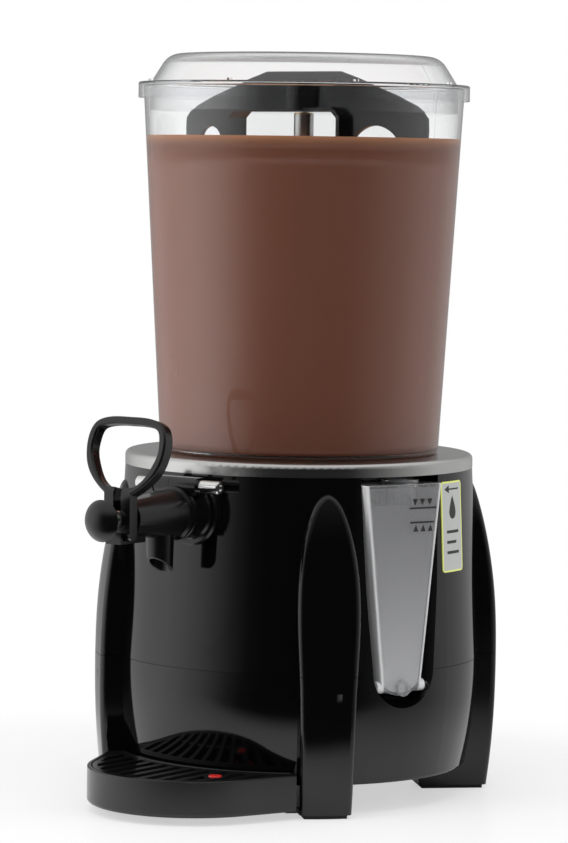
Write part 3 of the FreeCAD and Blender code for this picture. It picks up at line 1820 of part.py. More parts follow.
def tap_valve_rod():
    """Head, rod and collar, turned in one."""
    head_rear = seat_front + loose_fit
    head_start = head_rear + valve_seal_thickness
    head_front = head_start + valve_head_thickness
    plate_front = lever_pivot_forward + lever_plate / 2
    collar_start = plate_front + loose_fit
    return tap_turned(
        [
            (0, head_rear),
            (valve_seal_inner, head_rear),
            (valve_seal_inner, head_start),
            (valve_head_radius, head_start),
            (valve_head_radius, head_front),
            (rod_radius, head_front),
            (rod_radius, collar_start),
            (rod_collar_radius, collar_start),
            (rod_collar_radius, collar_start + rod_collar_length),
            (rod_radius, collar_start + rod_collar_length),
            (rod_radius, knob_back + knob_back_dome),
            (0, knob_back + knob_back_dome),
        ]
    )


def dome_arc(rim_radius, rim_height, rise):
    """The arc of a ball's cap, from its rim to its crown on the axis."""
    ball = (rim_radius**2 + rise**2) / (2 * rise)
    centre = rim_height + rise - ball
    half_turn = math.asin(rim_radius / ball) / 2
    middle = at(ball * math.sin(half_turn), 0, centre + ball * math.cos(half_turn))
    return arc(at(rim_radius, 0, rim_height), middle, at(0, 0, rim_height + rise))


def tap_knob():
    rim = knob_back + knob_back_dome
    inner = rod_radius * 2
    edges = [
        line(at(0, 0, knob_back), at(inner, 0, knob_back)),
        arc(
            at(inner, 0, knob_back),
            at((inner + knob_radius) / 2 + 1, 0, knob_back + knob_back_bulge),
            at(knob_radius, 0, rim),
        ),
        dome_arc(knob_radius, rim, knob_front_dome),
        line(at(0, 0, knob_front), at(0, 0, knob_back)),
    ]
    knob = laid_forward(turned_edges(edges), pipe_height)
    return knob.cut(tap_cylinder(rod_radius, knob_back, rim))


def tap_spring():
    """A coil between the valve's head and the gland."""
    start = seat_front + loose_fit + valve_seal_thickness + valve_head_thickness + spring_room
    length = gland_rear - spring_room - start
    pitch = (length - 2 * spring_wire) / spring_turns
    helix = Part.makeHelix(pitch, pitch * spring_turns, spring_radius)
    section = Part.Wire([Part.Circle(at(spring_radius, 0, 0), at(0, 1, 0), spring_wire).toShape()])
    coil = Part.Wire(helix.Edges).makePipeShell([section], True, True)
    coil = shifted(coil, 0, 0, start + spring_wire)
    return laid_forward(coil, pipe_height)


def lever_loop_points():
    """Half of the loop's outline as (x, height): shield-shaped, widest near the top."""
    return [
        (lever_plate_width / 2, lever_neck_height),
        (lever_hip_half_width, lever_neck_height + lever_hip_rise),
        (lever_flank_half_width, lever_neck_height + lever_flank_rise),
        (lever_half_width, lever_widest_height - lever_widest_start),
        (lever_upper_half_width, lever_widest_height + lever_widest_end),
        (lever_corner_half_width, lever_top_height - lever_corner_drop),
        (lever_hip_half_width, lever_top_height - lever_brow_drop),
        (0, lever_top_height),
    ]


def lever_hole_bottom():
    return lever_neck_height + lever_band - lever_inner_drop


def lever_hole_points():
    """Half of the loop's hole: the outline drawn in by the band, less where the band thins."""
    bottom = lever_hole_bottom()
    band = lever_band
    return [
        (lever_plate_width / 2 - band * 0.4, bottom),
        (lever_hip_half_width - band * 0.8, bottom + lever_inner_hip_rise),
        (lever_flank_half_width - band, lever_neck_height + lever_inner_flank_rise),
        (lever_half_width - band, lever_widest_height - lever_inner_widest_start),
        (lever_upper_half_width - band, lever_widest_height + lever_inner_widest_end),
        (lever_corner_half_width - band * 0.7, lever_top_height - lever_inner_corner_drop - band * 0.8),
        (lever_hip_half_width - band * 0.2, lever_top_height - lever_brow_drop - band),
        (0, lever_top_height - band),
    ]


def lever_curve(points):
    """A smooth closed half outline through the points, mirrored left to right."""
    places = [at(x, 0, z) for x, z in points]
    places += [at(-x, 0, z) for x, z in reversed(points[:-1])]
    curve = Part.BSplineCurve()
    curve.interpolate(places)
    return Part.Wire([curve.toShape(), line(places[-1], places[0])])


def tap_handle():
    """The lever: a flat plate with a slot for the rod, and a loop that leans back above it."""
    outer = Part.Face(lever_curve(lever_loop_points())).extrude(at(0, -lever_depth, 0))
    inner = Part.Face(lever_curve(lever_hole_points())).extrude(at(0, -lever_depth, 0))
    loop = outer.cut(inner)
    loop = round_off(
        loop, lever_edge_radius, lambda e, m: e.Length > 2 * long_edge and abs(m.z - lever_neck_height) > 1
    )
    front = lever_pivot_forward + lever_plate / 2
    loop.rotate(at(0, 0, lever_neck_height), at(1, 0, 0), -math.degrees(math.atan(lever_lean)))
    loop.translate(at(0, -front + lever_depth, 0))

    toe = lever_plate / 2
    half_width = lever_plate_width / 2
    plate = block(
        -half_width,
        half_width,
        -front,
        -front + lever_plate,
        lever_pivot_height,
        lever_neck_height + lever_plate_lap,
    )
    toe_end = rod(
        toe,
        at(-half_width, -lever_pivot_forward, lever_pivot_height),
        at(half_width, -lever_pivot_forward, lever_pivot_height),
    )
    slot_half = rod_radius + lever_slot_room
    slot_bottom = pipe_height - rod_radius - lever_slot_drop
    slot_top = lever_hole_bottom() + lever_band
    slot_back = -front + lever_depth + lever_slot_reach
    slot = block(-slot_half, slot_half, -front - 1, slot_back, slot_bottom, slot_top)
    lever = joined([loop, plate, toe_end])
    return lever.cut(slot)


# ---- the drip tray, its grid and float ----
def tray_outline(inset):
    """The tray's crescent at Z = 0, drawn in by the inset."""
    turn = math.radians(tray_bow_angle)
    bow_x = tray_bow_radius * math.sin(turn)
    bow_y = -tray_bow_centre - tray_bow_radius * math.cos(turn)
    run = (tray_corner_x - bow_x) / math.cos(turn)
    corner_y = bow_y + run * math.sin(turn)
    back = tray_back_radius

    def right_and_left(x, y):
        return at(x, y, 0), at(-x, y, 0)

    bow_right, bow_left = right_and_left(bow_x, bow_y)
    corner_right, corner_left = right_and_left(tray_corner_x, corner_y)
    heel_right, heel_left = right_and_left(tray_heel_x, -tray_heel_y)
    edges = [
        arc(bow_left, at(0, -tray_bow_centre - tray_bow_radius, 0), bow_right),
        line(bow_right, corner_right),
        line(corner_right, heel_right),
        arc(heel_right, at(0, -back, 0), heel_left),
        line(heel_left, corner_left),
        line(corner_left, bow_left),
    ]
    wire = Part.Wire(edges)
    if inset:
        wire = wire.makeOffset2D(-inset, 2)
    return Part.Face(wire)


def tray_slab(inset, bottom, top):
    face = tray_outline(inset)
    face.translate(at(0, 0, bottom))
    return face.extrude(at(0, 0, top - bottom))


def grid_post_places():
    places = []
    for side in (-1, 1):
        for x, reach in grid_posts:
            places.append((side * x, -tray_bow_centre - reach))
    return places


def drip_tray():
    outer = tray_slab(0, tray_bottom, tray_rim)
    outer = round_off(
        outer, tray_floor_edge, lambda e, m: abs(m.z - tray_bottom) < same_place and e.Length > long_edge
    )
    hollow = tray_slab(tray_wall, tray_bottom + tray_floor, tray_rim + 1)
    tray = outer.cut(hollow)
    tray = round_off(tray, tray_edge_radius, lambda e, m: tray_rim_edge(e, m))
    posts = []
    post_top = grid_bottom - loose_fit
    inside = tray_slab(tray_wall / 2, tray_bottom, post_top)
    for place in grid_post_places():
        post = disc(grid_post_radius * 2, tray_bottom + tray_floor / 2, post_top, place)
        posts.append(post.common(inside))
    back = tray_back_radius
    tongue = block(
        -tongue_half_width,
        tongue_half_width,
        -back - tray_wall / 2,
        -back + tongue_reach,
        tongue_bottom,
        tongue_bottom + tongue_height,
    )
    return joined([tray, tongue] + posts)


def tray_rim_edge(edge, middle):
    """True for the long edges of the tray's rim, inside and outside."""
    return abs(middle.z - tray_rim) < same_place and edge.Length > long_edge


def tray_guide():
    """The channel under the body that holds the tray's tongue."""
    back = tray_back_radius
    room = loose_fit
    low = tongue_bottom - room
    high = tongue_bottom + tongue_height + room
    half = tongue_half_width + room
    front = barrel_foot_radius - barrel_bottom_edge - guide_wall * 2
    rear = back - tongue_reach - guide_wall
    outer = block(-half - guide_wall, half + guide_wall, -front, -rear, low - guide_wall, barrel_bottom + 1)
    channel = block(-half, half, -front - 1, -rear - guide_wall / 2, low, high)
    return outer.cut(channel)


def tray_ledges():
    """Small rests on the front legs, under the tray's heels."""
    ledges = []
    top = tray_bottom - loose_fit
    near = leg_foot_half_width - body_wall
    for side in (-1, 1):
        angle = side * ledge_angle
        low_x = -near - ledge_reach if side > 0 else near
        high_x = -near if side > 0 else near + ledge_reach
        front = -leg_foot_radius + ledge_width
        rest = block(low_x, high_x, front, front + ledge_width, top - ledge_height, top)
        ledges.append(spun(rest, angle))
    return ledges


def float_place():
    return float_x, -float_forward


def tray_grid():
    outline = tray_wall + loose_fit
    slab = tray_slab(outline, grid_bottom, grid_top)
    frame = slab.cut(tray_slab(outline + grid_frame, grid_bottom - 1, grid_top + 1))
    bars = []
    for k in range(slat_count):
        x = (k - (slat_count - 1) / 2) * slat_pitch
        bar = block(x - slat_width / 2, x + slat_width / 2, -tray_front, 0, grid_bottom, grid_top)
        bars.append(bar.common(slab))
    low_y = -crossbar_forward - crossbar_width / 2
    high_y = -crossbar_forward + crossbar_width / 2
    cross = block(-tray_front, tray_front, low_y, high_y, grid_bottom, grid_top - crossbar_drop)
    bars.append(cross.common(slab))
    place = float_place()
    hole = float_radius + loose_fit
    bars.append(disc(hole + float_ring_width, grid_bottom, grid_top, place))
    return joined([frame] + bars).cut(disc(hole, grid_bottom - 1, grid_top + 1, place))


def tray_float():
    place = float_place()
    foot_bottom = tray_bottom + tray_floor + loose_fit
    foot = disc(float_foot_radius, foot_bottom, foot_bottom + float_foot_height, place)
    stem = disc(float_radius, foot_bottom, grid_top + float_stand, place)
    stem = round_off(stem, 1.0, lambda e, m: e.Closed and m.z > grid_top)
    return joined([foot, stem])


# ---- the water hopper ----
def hopper_frame(shape):
    """Turns a shape built with the hopper at the front (-Y) to the hopper's place."""
    return spun(shape, hopper_angle)


def hopper_slab(inset, back, front, top):
    slope = (hopper_top_half_width - hopper_waist_half_width) / (hopper_rim - hopper_waist_height)
    top_half = hopper_top_half_width + slope * (top - hopper_rim) - inset
    waist_half = hopper_waist_half_width - inset
    low = hopper_bottom + inset
    edges = [
        line(at(-top_half, -back, top), at(-waist_half, -back, hopper_waist_height)),
        arc(
            at(-waist_half, -back, hopper_waist_height),
            at(0, -back, low),
            at(waist_half, -back, hopper_waist_height),
        ),
        line(at(waist_half, -back, hopper_waist_height), at(top_half, -back, top)),
        line(at(top_half, -back, top), at(-top_half, -back, top)),
    ]
    return Part.Face(Part.Wire(edges)).extrude(at(0, back - front, 0))


def cap_place():
    return cap_lateral, -hopper_middle_depth


def water_hopper():
    outer = hopper_slab(0, hopper_back, hopper_front, hopper_rim)
    outer = round_off(outer, hopper_edge_radius, lambda e, m: e.Length > long_edge)
    hollow = hopper_slab(
        hopper_wall, hopper_back + hopper_wall, hopper_front - hopper_wall, hopper_rim - hopper_wall
    )
    vessel = outer.cut(hollow)
    pieces = [vessel]
    for side in (-1, 1):
        waist = hopper_waist_half_width
        far = waist + pivot_engagement
        pieces.append(
            rod(
                pivot_ear_radius,
                at(side * pivot_ear_inner, -pivot_depth, pivot_height),
                at(side * far, -pivot_depth, pivot_height),
            )
        )
    vessel = joined(pieces)
    cuts = []
    for side in (-1, 1):
        far = hopper_waist_half_width + pivot_engagement + 1
        near = hopper_waist_half_width
        cuts.append(
            rod(
                pivot_pin_radius + running_fit,
                at(side * near, -pivot_depth, pivot_height),
                at(side * far, -pivot_depth, pivot_height),
            )
        )
    filler = cap_radius - cap_wall - loose_fit * 4
    cuts.append(disc(filler, hopper_rim - hopper_wall - 1, hopper_rim + 1, cap_place()))
    port_end = -hopper_back - hopper_wall - 1
    cuts.append(rod(bath_inlet_bore, at(0, -hopper_back + 1, port_height), at(0, port_end, port_height)))
    stem = rod(
        drain_stem_radius,
        at(drain_lateral, -hopper_front - 1, drain_height),
        at(drain_lateral, -hopper_front + hopper_wall + 1, drain_height),
    )
    cuts.append(stem)
    return hopper_frame(vessel.cut(cuts))


def hopper_pivot_pins():
    pins = []
    for side in (-1, 1):
        start = side * (hopper_waist_half_width + loose_fit)
        end = side * recess_wall_outside()
        pins.append(
            rod(pivot_pin_radius, at(start, -pivot_depth, pivot_height), at(end, -pivot_depth, pivot_height))
        )
    return group([hopper_frame(pin) for pin in pins])


def recess_wall_outside():
    """How far out to the side the recess's wall reaches at the pivot's height."""
    drop = recess_low_height - recess_bottom
    radius = (recess_low_half_width**2 + drop**2) / (2 * drop)
    centre = recess_bottom + radius
    half = math.sqrt(radius**2 - (centre - pivot_height) ** 2)
    return half + body_wall


def pivot_bore(side):
    end = side * (recess_wall_outside() + 1)
    bore = rod(
        pivot_pin_radius + running_fit,
        at(0, -pivot_depth, pivot_height),
        at(end, -pivot_depth, pivot_height),
    )
    return hopper_frame(bore)


def port_opening():
    height = port_height + recess_port_lift / 2
    bore = rod(
        recess_port_radius,
        at(0, -recess_back - 1, height),
        at(0, -recess_back + body_wall + 1, height),
    )
    return hopper_frame(bore)


def hopper_cap():
    bottom = hopper_rim + loose_fit
    top = bottom + cap_disc
    place = cap_place()
    cup_radius = cap_radius - cap_wall - loose_fit * 5
    cup_bottom = top - cap_disc - cap_cup_depth
    head = disc(cap_radius, bottom, top, place)
    head = round_off(head, cap_edge_radius, lambda e, m: e.Closed and abs(m.z - top) < same_place)
    grip = disc(cap_radius - cap_wall * 2, top - cap_grip_depth, top + 1, place)
    web = block(
        place[0] - cap_radius,
        place[0] + cap_radius,
        place[1] - cap_grip_web / 2,
        place[1] + cap_grip_web / 2,
        top - cap_grip_depth,
        top + 1,
    )
    cup = ring(cup_radius, cup_radius - cap_wall, cup_bottom, bottom + 0.5, place)
    cup_floor_disc = disc(cup_radius, cup_bottom, cup_bottom + cap_wall, place)
    cap = joined([head.cut(grip.cut(web)), cup, cup_floor_disc])
    slots = []
    for angle in (0, 90):
        half = cap_slot_width / 2
        slot = spun(block(-cap_radius, cap_radius, -half, half, 0, cap_slot_height), angle)
        slots.append(shifted(slot, place[0], place[1], cup_bottom + cap_wall))
    return hopper_frame(cap.cut(slots))


def hopper_drain_plug():
    def place(depth):
        return at(drain_lateral, -depth, drain_height)

    head = rod(drain_head_radius, place(hopper_front), place(hopper_front + drain_head_thickness))
    front = hopper_front + drain_head_thickness
    head = round_off(head, drain_edge_radius, lambda e, m: e.Closed and abs(m.y + front) < same_place)
    dimple = rod(
        drain_dimple_radius,
        place(front - drain_dimple_depth),
        place(front + 1),
    )
    stem = rod(drain_stem_radius, place(hopper_front - hopper_wall), place(hopper_front))
    return hopper_frame(joined([head, stem]).cut(dimple))


def hopper_hose():
    """A short folded rubber hose from the bath's wall to the hopper's back."""
    start = bath_radius + bath_sheet
    length = hopper_back - start
    folds = []
    steps = hose_folds * 2
    for k in range(steps + 1):
        reach = hose_radius if k % 2 else hose_radius - hose_fold
        folds.append((reach, start + length * k / steps))
    inside = [(reach - hose_wall, height) for reach, height in reversed(folds)]
    hose = laid_forward(turned(folds + inside), port_height)
    curved_wall = disc(start, port_height - beyond, port_height + beyond)
    return hopper_frame(hose.cut(curved_wall))


# ---- the label on the body's side ----
def side_label():
    skin = barrel_solid(-label_thickness, barrel_bottom, barrel_top)
    sheet = skin.cut(barrel_solid(0, barrel_bottom, barrel_top))
    half = label_width / 2
    front = -barrel_seam_radius - beyond / 2
    plate = block(-half, half, front, front + 2 * beyond, label_bottom, label_top)
    plate = round_off(
        plate, label_corner, lambda e, m: abs(abs(m.x) - half) < same_place and along_depth(e)
    )
    return spun(plate, label_angle).common(sheet)


def along_depth(edge):
    start = edge.valueAt(edge.FirstParameter)
    end = edge.valueAt(edge.LastParameter)
    return abs(start.y - end.y) > long_edge


# ---- the control panel in the back ----
def centred_block(x, z, width, height, low_y, high_y):
    return block(x - width / 2, x + width / 2, low_y, high_y, z - height / 2, z + height / 2)


def switch_places():
    return [power_switch_x, mixer_switch_x]


def panel_cutouts():
    back = panel_depth - body_wall - 1
    front = panel_depth + 1
    cuts = []
    for x in switch_places():
        cuts.append(
            centred_block(
                x, switch_height, bezel_width - bezel_wall, bezel_height - bezel_wall, back, front
            )
        )
    inlet = (inlet_width + thread_room, inlet_height + thread_room)
    cuts.append(centred_block(inlet_x, switch_height, *inlet, back, front))
    for radius, height in (
        (dial_shaft_radius + loose_fit, dial_height),
        (lamp_stem_radius + thread_room, lamp_height),
    ):
        cuts.append(rod(radius, at(dial_x, back, height), at(dial_x, front, height)))
    return cuts


def rocker_switch_body(x):
    front = panel_depth + bezel_thickness
    body_width = bezel_width - bezel_wall - thread_room
    body_height = bezel_height - bezel_wall - thread_room
    back = panel_depth - switch_depth
    bezel = centred_block(x, switch_height, bezel_width, bezel_height, panel_depth, front)
    body = centred_block(x, switch_height, body_width, body_height, back, panel_depth)
    room = centred_block(
        x,
        switch_height,
        bezel_width - 2 * bezel_wall,
        bezel_height - 2 * bezel_wall,
        front - rocker_thickness,
        front + 1,
    )
    axle_y = front - rocker_thickness / 2
    reach = body_width / 2 - axle_bore_wall
    bore = rod(
        axle_radius + running_fit, at(x - reach, axle_y, switch_height), at(x + reach, axle_y, switch_height)
    )
    pieces = [bezel, body]
    for side in (-1, 1):
        z = switch_height + side * blade_offset
        pieces.append(centred_block(x, z, blade_width, blade_thickness, back - blade_length, back))
    return joined(pieces).cut([room, bore])


def rocker(x):
    """The rocking key: two flats that meet at a shallow angle over the axle."""
    front = panel_depth + bezel_thickness
    axle_y = front - rocker_thickness / 2
    half = bezel_height / 2 - bezel_wall - rocker_end_room
    width = bezel_width - 2 * bezel_wall - 2 * rocker_room
    rise = half * math.tan(math.radians(rocker_tilt))
    middle = front + rocker_crown
    points = [
        at(-width / 2, axle_y, half * rocker_shoulder),
        at(-width / 2, middle + rise * rocker_raised, half),
        at(-width / 2, middle, 0),
        at(-width / 2, middle - rise * rocker_sunk, -half),
        at(-width / 2, axle_y, -half * rocker_shoulder),
        at(-width / 2, axle_y - axle_radius, 0),
    ]
    key = plane_face(points).extrude(at(width, 0, 0))
    reach = bezel_width / 2 - bezel_wall / 2 - thread_room - axle_end_room
    axle = rod(axle_radius, at(-reach, axle_y, 0), at(reach, axle_y, 0))
    return shifted(joined([key, axle]), x, 0, switch_height)


def inlet_pin_places():
    """The three pins' places: the earth pin sits a little higher."""
    low = switch_height - inlet_pin_stagger
    high = switch_height + inlet_pin_stagger
    return [(inlet_x - inlet_pin_spacing, low), (inlet_x, high), (inlet_x + inlet_pin_spacing, low)]


def power_inlet():
    back = panel_depth - inlet_depth
    front = panel_depth + inlet_flange_thickness
    floor = front - inlet_socket_depth
    flange = centred_block(
        inlet_x,
        switch_height,
        inlet_width + 2 * inlet_flange,
        inlet_height + 2 * inlet_flange,
        panel_depth,
        front,
    )
    flange = round_off(flange, inlet_corner, lambda e, m: along_y(e))
    body = centred_block(inlet_x, switch_height, inlet_width, inlet_height, back, panel_depth)
    mouth = (inlet_width - 2 * inlet_side_wall, inlet_height - 2 * inlet_top_wall)
    socket = centred_block(inlet_x, switch_height, *mouth, floor, front + 1)
    core = (mouth[0] - 2 * inlet_plug_room, mouth[1] - 2 * inlet_plug_room)
    tongue = centred_block(inlet_x, switch_height, *core, back, front - inlet_tongue_drop)
    pins = []
    for x, z in inlet_pin_places():
        width = inlet_pin_width + inlet_pin_room
        height = inlet_pin_height + inlet_pin_room
        tongue = tongue.cut(centred_block(x, z, width, height, floor + inlet_pin_root, front))
        tip = front - inlet_pin_drop
        pins.append(centred_block(x, z, inlet_pin_width, inlet_pin_height, back - inlet_tab, tip))
    shell = joined([flange, body]).cut(socket)
    return joined([shell, tongue] + pins)


def along_y(edge):
    start = edge.valueAt(edge.FirstParameter)
    end = edge.valueAt(edge.LastParameter)
    return abs(start.x - end.x) < same_place and abs(start.z - end.z) < same_place


def dial_turned(profile):
    """A solid turned about the dial's axis from (radius, depth towards the back) points."""
    shape = turned(profile)
    shape.rotate(at(0, 0, 0), at(1, 0, 0), -90)
    return shifted(shape, dial_x, 0, dial_height)


def dial_flat(near, far, room):
    """What is cut from the dial's shaft, or left in its bore, to make the flat."""
    side = dial_radius
    low = dial_height + dial_shaft_flat - room
    return block(dial_x - side, dial_x + side, near, far, low, dial_height + side)


def thermostat_knob():
    near = panel_depth + loose_fit * 2
    far = near + dial_length
    knob = dial_turned(
        [
            (0, near),
            (dial_radius, near),
            (dial_radius, near + dial_skirt),
            (dial_radius - dial_skirt_step, near + dial_skirt + dial_skirt_slope),
            (dial_radius - dial_top_draw, far - dial_edge),
            (dial_radius - dial_top_draw - dial_edge_draw, far),
            (0, far),
        ]
    )
    cuts = []
    groove_reach = dial_radius - dial_groove_inset
    for k in range(dial_flutes):
        turn = math.radians(360 * (k + 0.5) / dial_flutes)
        x = dial_x + groove_reach * math.cos(turn)
        z = dial_height + groove_reach * math.sin(turn)
        cuts.append(rod(dial_groove, at(x, near + dial_skirt + dial_skirt_slope, z), at(x, far + 1, z)))
    half = dial_pointer_width / 2
    low_y = far - dial_pointer_depth
    cuts.append(block(dial_x - half, dial_x + half, low_y, far + 1, dial_height, dial_height + dial_radius))
    bore = rod(
        dial_shaft_radius + thread_room,
        at(dial_x, near - 1, dial_height),
        at(dial_x, near + dial_bore_depth, dial_height),
    )
    cuts.append(bore.cut(dial_flat(near - 1, near + dial_bore_depth + 1, 0)))
    return knob.cut(cuts)


def thermostat_shaft():
    near = panel_depth + loose_fit * 2
    back = panel_depth - body_wall - thermostat_depth / 2
    tip = near + dial_bore_depth - dial_shaft_short
    shaft = rod(dial_shaft_radius, at(dial_x, back, dial_height), at(dial_x, tip, dial_height))
    return shaft.cut(dial_flat(near - dial_flat_lap, near + dial_bore_depth + 1, thread_room))


def bath_thermostat():
    """The thermostat's case behind the panel, its capillary and the bulb under the bath's floor."""
    back = panel_depth - body_wall - thermostat_depth
    case = centred_block(
        dial_x, dial_height, thermostat_size, thermostat_size, back, panel_depth - body_wall
    )
    bore = rod(
        dial_shaft_radius + running_fit,
        at(dial_x, back + thermostat_depth / 2 - loose_fit, dial_height),
        at(dial_x, panel_depth, dial_height),
    )
    bulb_height = bath_floor_height - bath_sheet - bulb_radius
    bulb_x = dial_x
    bulb_start = bath_radius / 3
    bulb_end = bulb_start + bulb_length
    bulb = rod(bulb_radius, at(bulb_x, bulb_start, bulb_height), at(bulb_x, bulb_end, bulb_height))
    bend = at(bulb_x, bulb_end + capillary_run, bulb_height)
    down = at(bulb_x, bulb_end + capillary_run, dial_height)
    tube = [
        rod(capillary_radius, at(bulb_x, bulb_end - 1, bulb_height), bend),
        Part.makeSphere(capillary_radius, bend),
        rod(capillary_radius, bend, down),
        Part.makeSphere(capillary_radius, down),
        rod(capillary_radius, down, at(bulb_x, back + 1, dial_height)),
    ]
    return joined([case.cut(bore), bulb] + tube)


def pilot_lamp():
    front = panel_depth + lamp_head
    head = rod(lamp_radius, at(dial_x, panel_depth, lamp_height), at(dial_x, front, lamp_height))
    head = round_off(head, lamp_edge_radius, lambda e, m: e.Closed and abs(m.y - front) < same_place)
    stem = rod(
        lamp_stem_radius,
        at(dial_x, panel_depth - lamp_depth, lamp_height),
        at(dial_x, panel_depth, lamp_height),
    )
    return joined([head, stem])


# ---- everything is saved, one file for each piece ----
outer_body = body_solid(0, foot_pad_height)
inner_hollow = housing_hollow()
save("upper_housing", upper_housing(outer_body, inner_hollow))
save("lower_housing", lower_housing(outer_body, inner_hollow))
save("housing_screws", housing_screws())
save("rubber_feet", rubber_feet())
save("bottom_cover", bottom_cover())
save("cover_screws", cover_screws())
save("steel_deck", steel_deck())
save("deck_nuts", deck_nuts())
save("food_well", food_well())
save("outlet_pipe", outlet_pipe())
save("water_bath", water_bath())
save("heating_element", heating_element())
save("safety_cutout", safety_cutout())
save("centre_tube", centre_tube())
save("tube_seals", tube_seals())
save("upper_bush", upper_bush())
save("drive_shaft", drive_shaft())
save("drive_gear", drive_gear())
save("motor_pinion", motor_pinion())
save("gear_case", gear_case())
save("gear_cover", gear_cover())
save("lower_bush", lower_bush())
save("gearbox_screws", gearbox_screws())
save("motor_mount", motor_mount())
save("motor", motor())
save("bowl", bowl())
save("bowl_gasket", bowl_gasket())
save("lid", lid())
save("agitator_paddle", agitator_paddle())
save("tap_socket", tap_socket())
save("tap_barrel", tap_barrel())
save("pipe_seal", pipe_seal())
save("tap_pin", tap_pin())
save("tap_rod_gland", tap_rod_gland())
save("tap_rod_seal", tap_rod_seal())
save("tap_valve_seal", tap_valve_seal())
save("tap_valve_rod", tap_valve_rod())
save("tap_knob", tap_knob())
save("tap_spring", tap_spring())
save("tap_handle", tap_handle())
save("drip_tray", drip_tray())
save("tray_grid", tray_grid())
save("tray_float", tray_float())
save("water_hopper", water_hopper())
save("hopper_pivot_pins", hopper_pivot_pins())
save("hopper_cap", hopper_cap())
save("hopper_drain_plug", hopper_drain_plug())
save("hopper_hose", hopper_hose())
save("side_label", side_label())
save("power_switch", rocker_switch_body(power_switch_x))
save("power_rocker", rocker(power_switch_x))
save("mixer_switch", rocker_switch_body(mixer_switch_x))
save("mixer_rocker", rocker(mixer_switch_x))
save("power_inlet", power_inlet())
save("thermostat_knob", thermostat_knob())
save("thermostat_shaft", thermostat_shaft())
save("bath_thermostat", bath_thermostat())
save("pilot_lamp", pilot_lamp())
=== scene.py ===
# %% [markdown]
# # A hot chocolate dispenser, dressed for its picture
# The CAD model gives every rigid piece its true size and place: a gloss-black body on four legs, a steel
# deck, a clear bowl with a stirring paddle, a pull tap, a drip tray and a clear water hopper in the side.
# What is left for Blender is what makes it look real: the finishes, the drink in the bowl, the water in
# the hopper, the printed marks, and the light. All lengths here are metres, as Blender has them, and
# `MM` turns a drawing's millimetres into metres.

# %% load the CAD model as the fixed frame
import json
import math

import bmesh
import bpy
from mathutils import Matrix, Vector
from mathutils.bvhtree import BVHTree


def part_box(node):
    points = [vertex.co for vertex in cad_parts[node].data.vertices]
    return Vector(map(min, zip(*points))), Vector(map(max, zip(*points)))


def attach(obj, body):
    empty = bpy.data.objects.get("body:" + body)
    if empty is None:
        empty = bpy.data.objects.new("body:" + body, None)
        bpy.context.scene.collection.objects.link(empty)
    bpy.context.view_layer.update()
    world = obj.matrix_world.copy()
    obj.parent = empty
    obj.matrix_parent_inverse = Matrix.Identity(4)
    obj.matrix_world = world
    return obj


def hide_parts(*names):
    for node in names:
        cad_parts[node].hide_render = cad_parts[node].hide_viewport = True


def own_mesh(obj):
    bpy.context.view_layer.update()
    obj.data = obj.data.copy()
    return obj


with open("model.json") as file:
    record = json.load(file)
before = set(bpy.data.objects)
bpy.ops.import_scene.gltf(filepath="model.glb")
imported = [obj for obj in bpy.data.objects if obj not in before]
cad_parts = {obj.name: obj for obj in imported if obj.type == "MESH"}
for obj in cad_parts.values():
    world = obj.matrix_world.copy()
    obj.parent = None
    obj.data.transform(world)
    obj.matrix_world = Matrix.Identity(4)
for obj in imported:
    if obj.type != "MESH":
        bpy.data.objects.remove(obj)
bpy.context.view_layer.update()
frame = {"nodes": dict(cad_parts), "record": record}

MM = 0.001
SAME_POINT = 1e-7


def in_scene(name, data):
    """An object made of the data, put in the scene."""
    thing = bpy.data.objects.new(name, data)
    bpy.context.scene.collection.objects.link(thing)
    return thing


bowl_low, bowl_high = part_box("bowl")
axis_x = (bowl_low.x + bowl_high.x) / 2
axis_y = (bowl_low.y + bowl_high.y) / 2
print("nodes", len(frame["nodes"]), "bowl axis at", round(axis_x, 5), round(axis_y, 5))

# %% [markdown]
# ## The camera
# A long lens far away keeps the uprights almost parallel, as product pictures have it. The camera could be
# placed with a constraint that tracks the object, but a fixed place, an aim point and a small roll are
# easier to read and always give the same picture. The focal length is written in pixels of the picture's
# long side and turned into millimetres of a 36 mm sensor.

# %% camera
PICTURE_LONG_SIDE = 843
FOCAL_PIXELS = 3744.6
SENSOR = 36.0
camera_place = Vector((1.7237, -2.3461, 0.4943))
camera_aim = Vector((0.0, 0.0363, 0.2925))
camera_roll = math.radians(0.8236)

camera_data = bpy.data.cameras.new("product_camera")
camera_data.sensor_width = SENSOR
camera_data.lens = FOCAL_PIXELS * SENSOR / PICTURE_LONG_SIDE
camera = in_scene("product_camera", camera_data)
look = (camera_aim - camera_place).to_track_quat("-Z", "Y").to_matrix().to_4x4()
camera.matrix_world = Matrix.Translation(camera_place) @ look @ Matrix.Rotation(camera_roll, 4, "Z")
bpy.context.scene.camera = camera
print("lens", round(camera_data.lens, 1), "mm")

# %% [markdown]
# ## Mesh helpers
# Three ways of making a mesh cover all the loose pieces: turning a profile about the bowl's axis, pulling
# a flat outline into a slab, and laying a thin printed mark on a curved surface. Writing the vertices
# directly leaves no modifiers behind, so the pieces are ready for export as they are.

# %% helpers that make a piece's mesh
def new_piece(name, vertices, faces, smooth=False):
    mesh = bpy.data.meshes.new(name)
    mesh.from_pydata([tuple(v) for v in vertices], [], faces)
    work = bmesh.new()
    work.from_mesh(mesh)
    bmesh.ops.remove_doubles(work, verts=work.verts, dist=SAME_POINT)
    bmesh.ops.recalc_face_normals(work, faces=work.faces)
    work.to_mesh(mesh)
    work.free()
    if smooth:
        for polygon in mesh.polygons:
            polygon.use_smooth = True
    return in_scene(name, mesh)


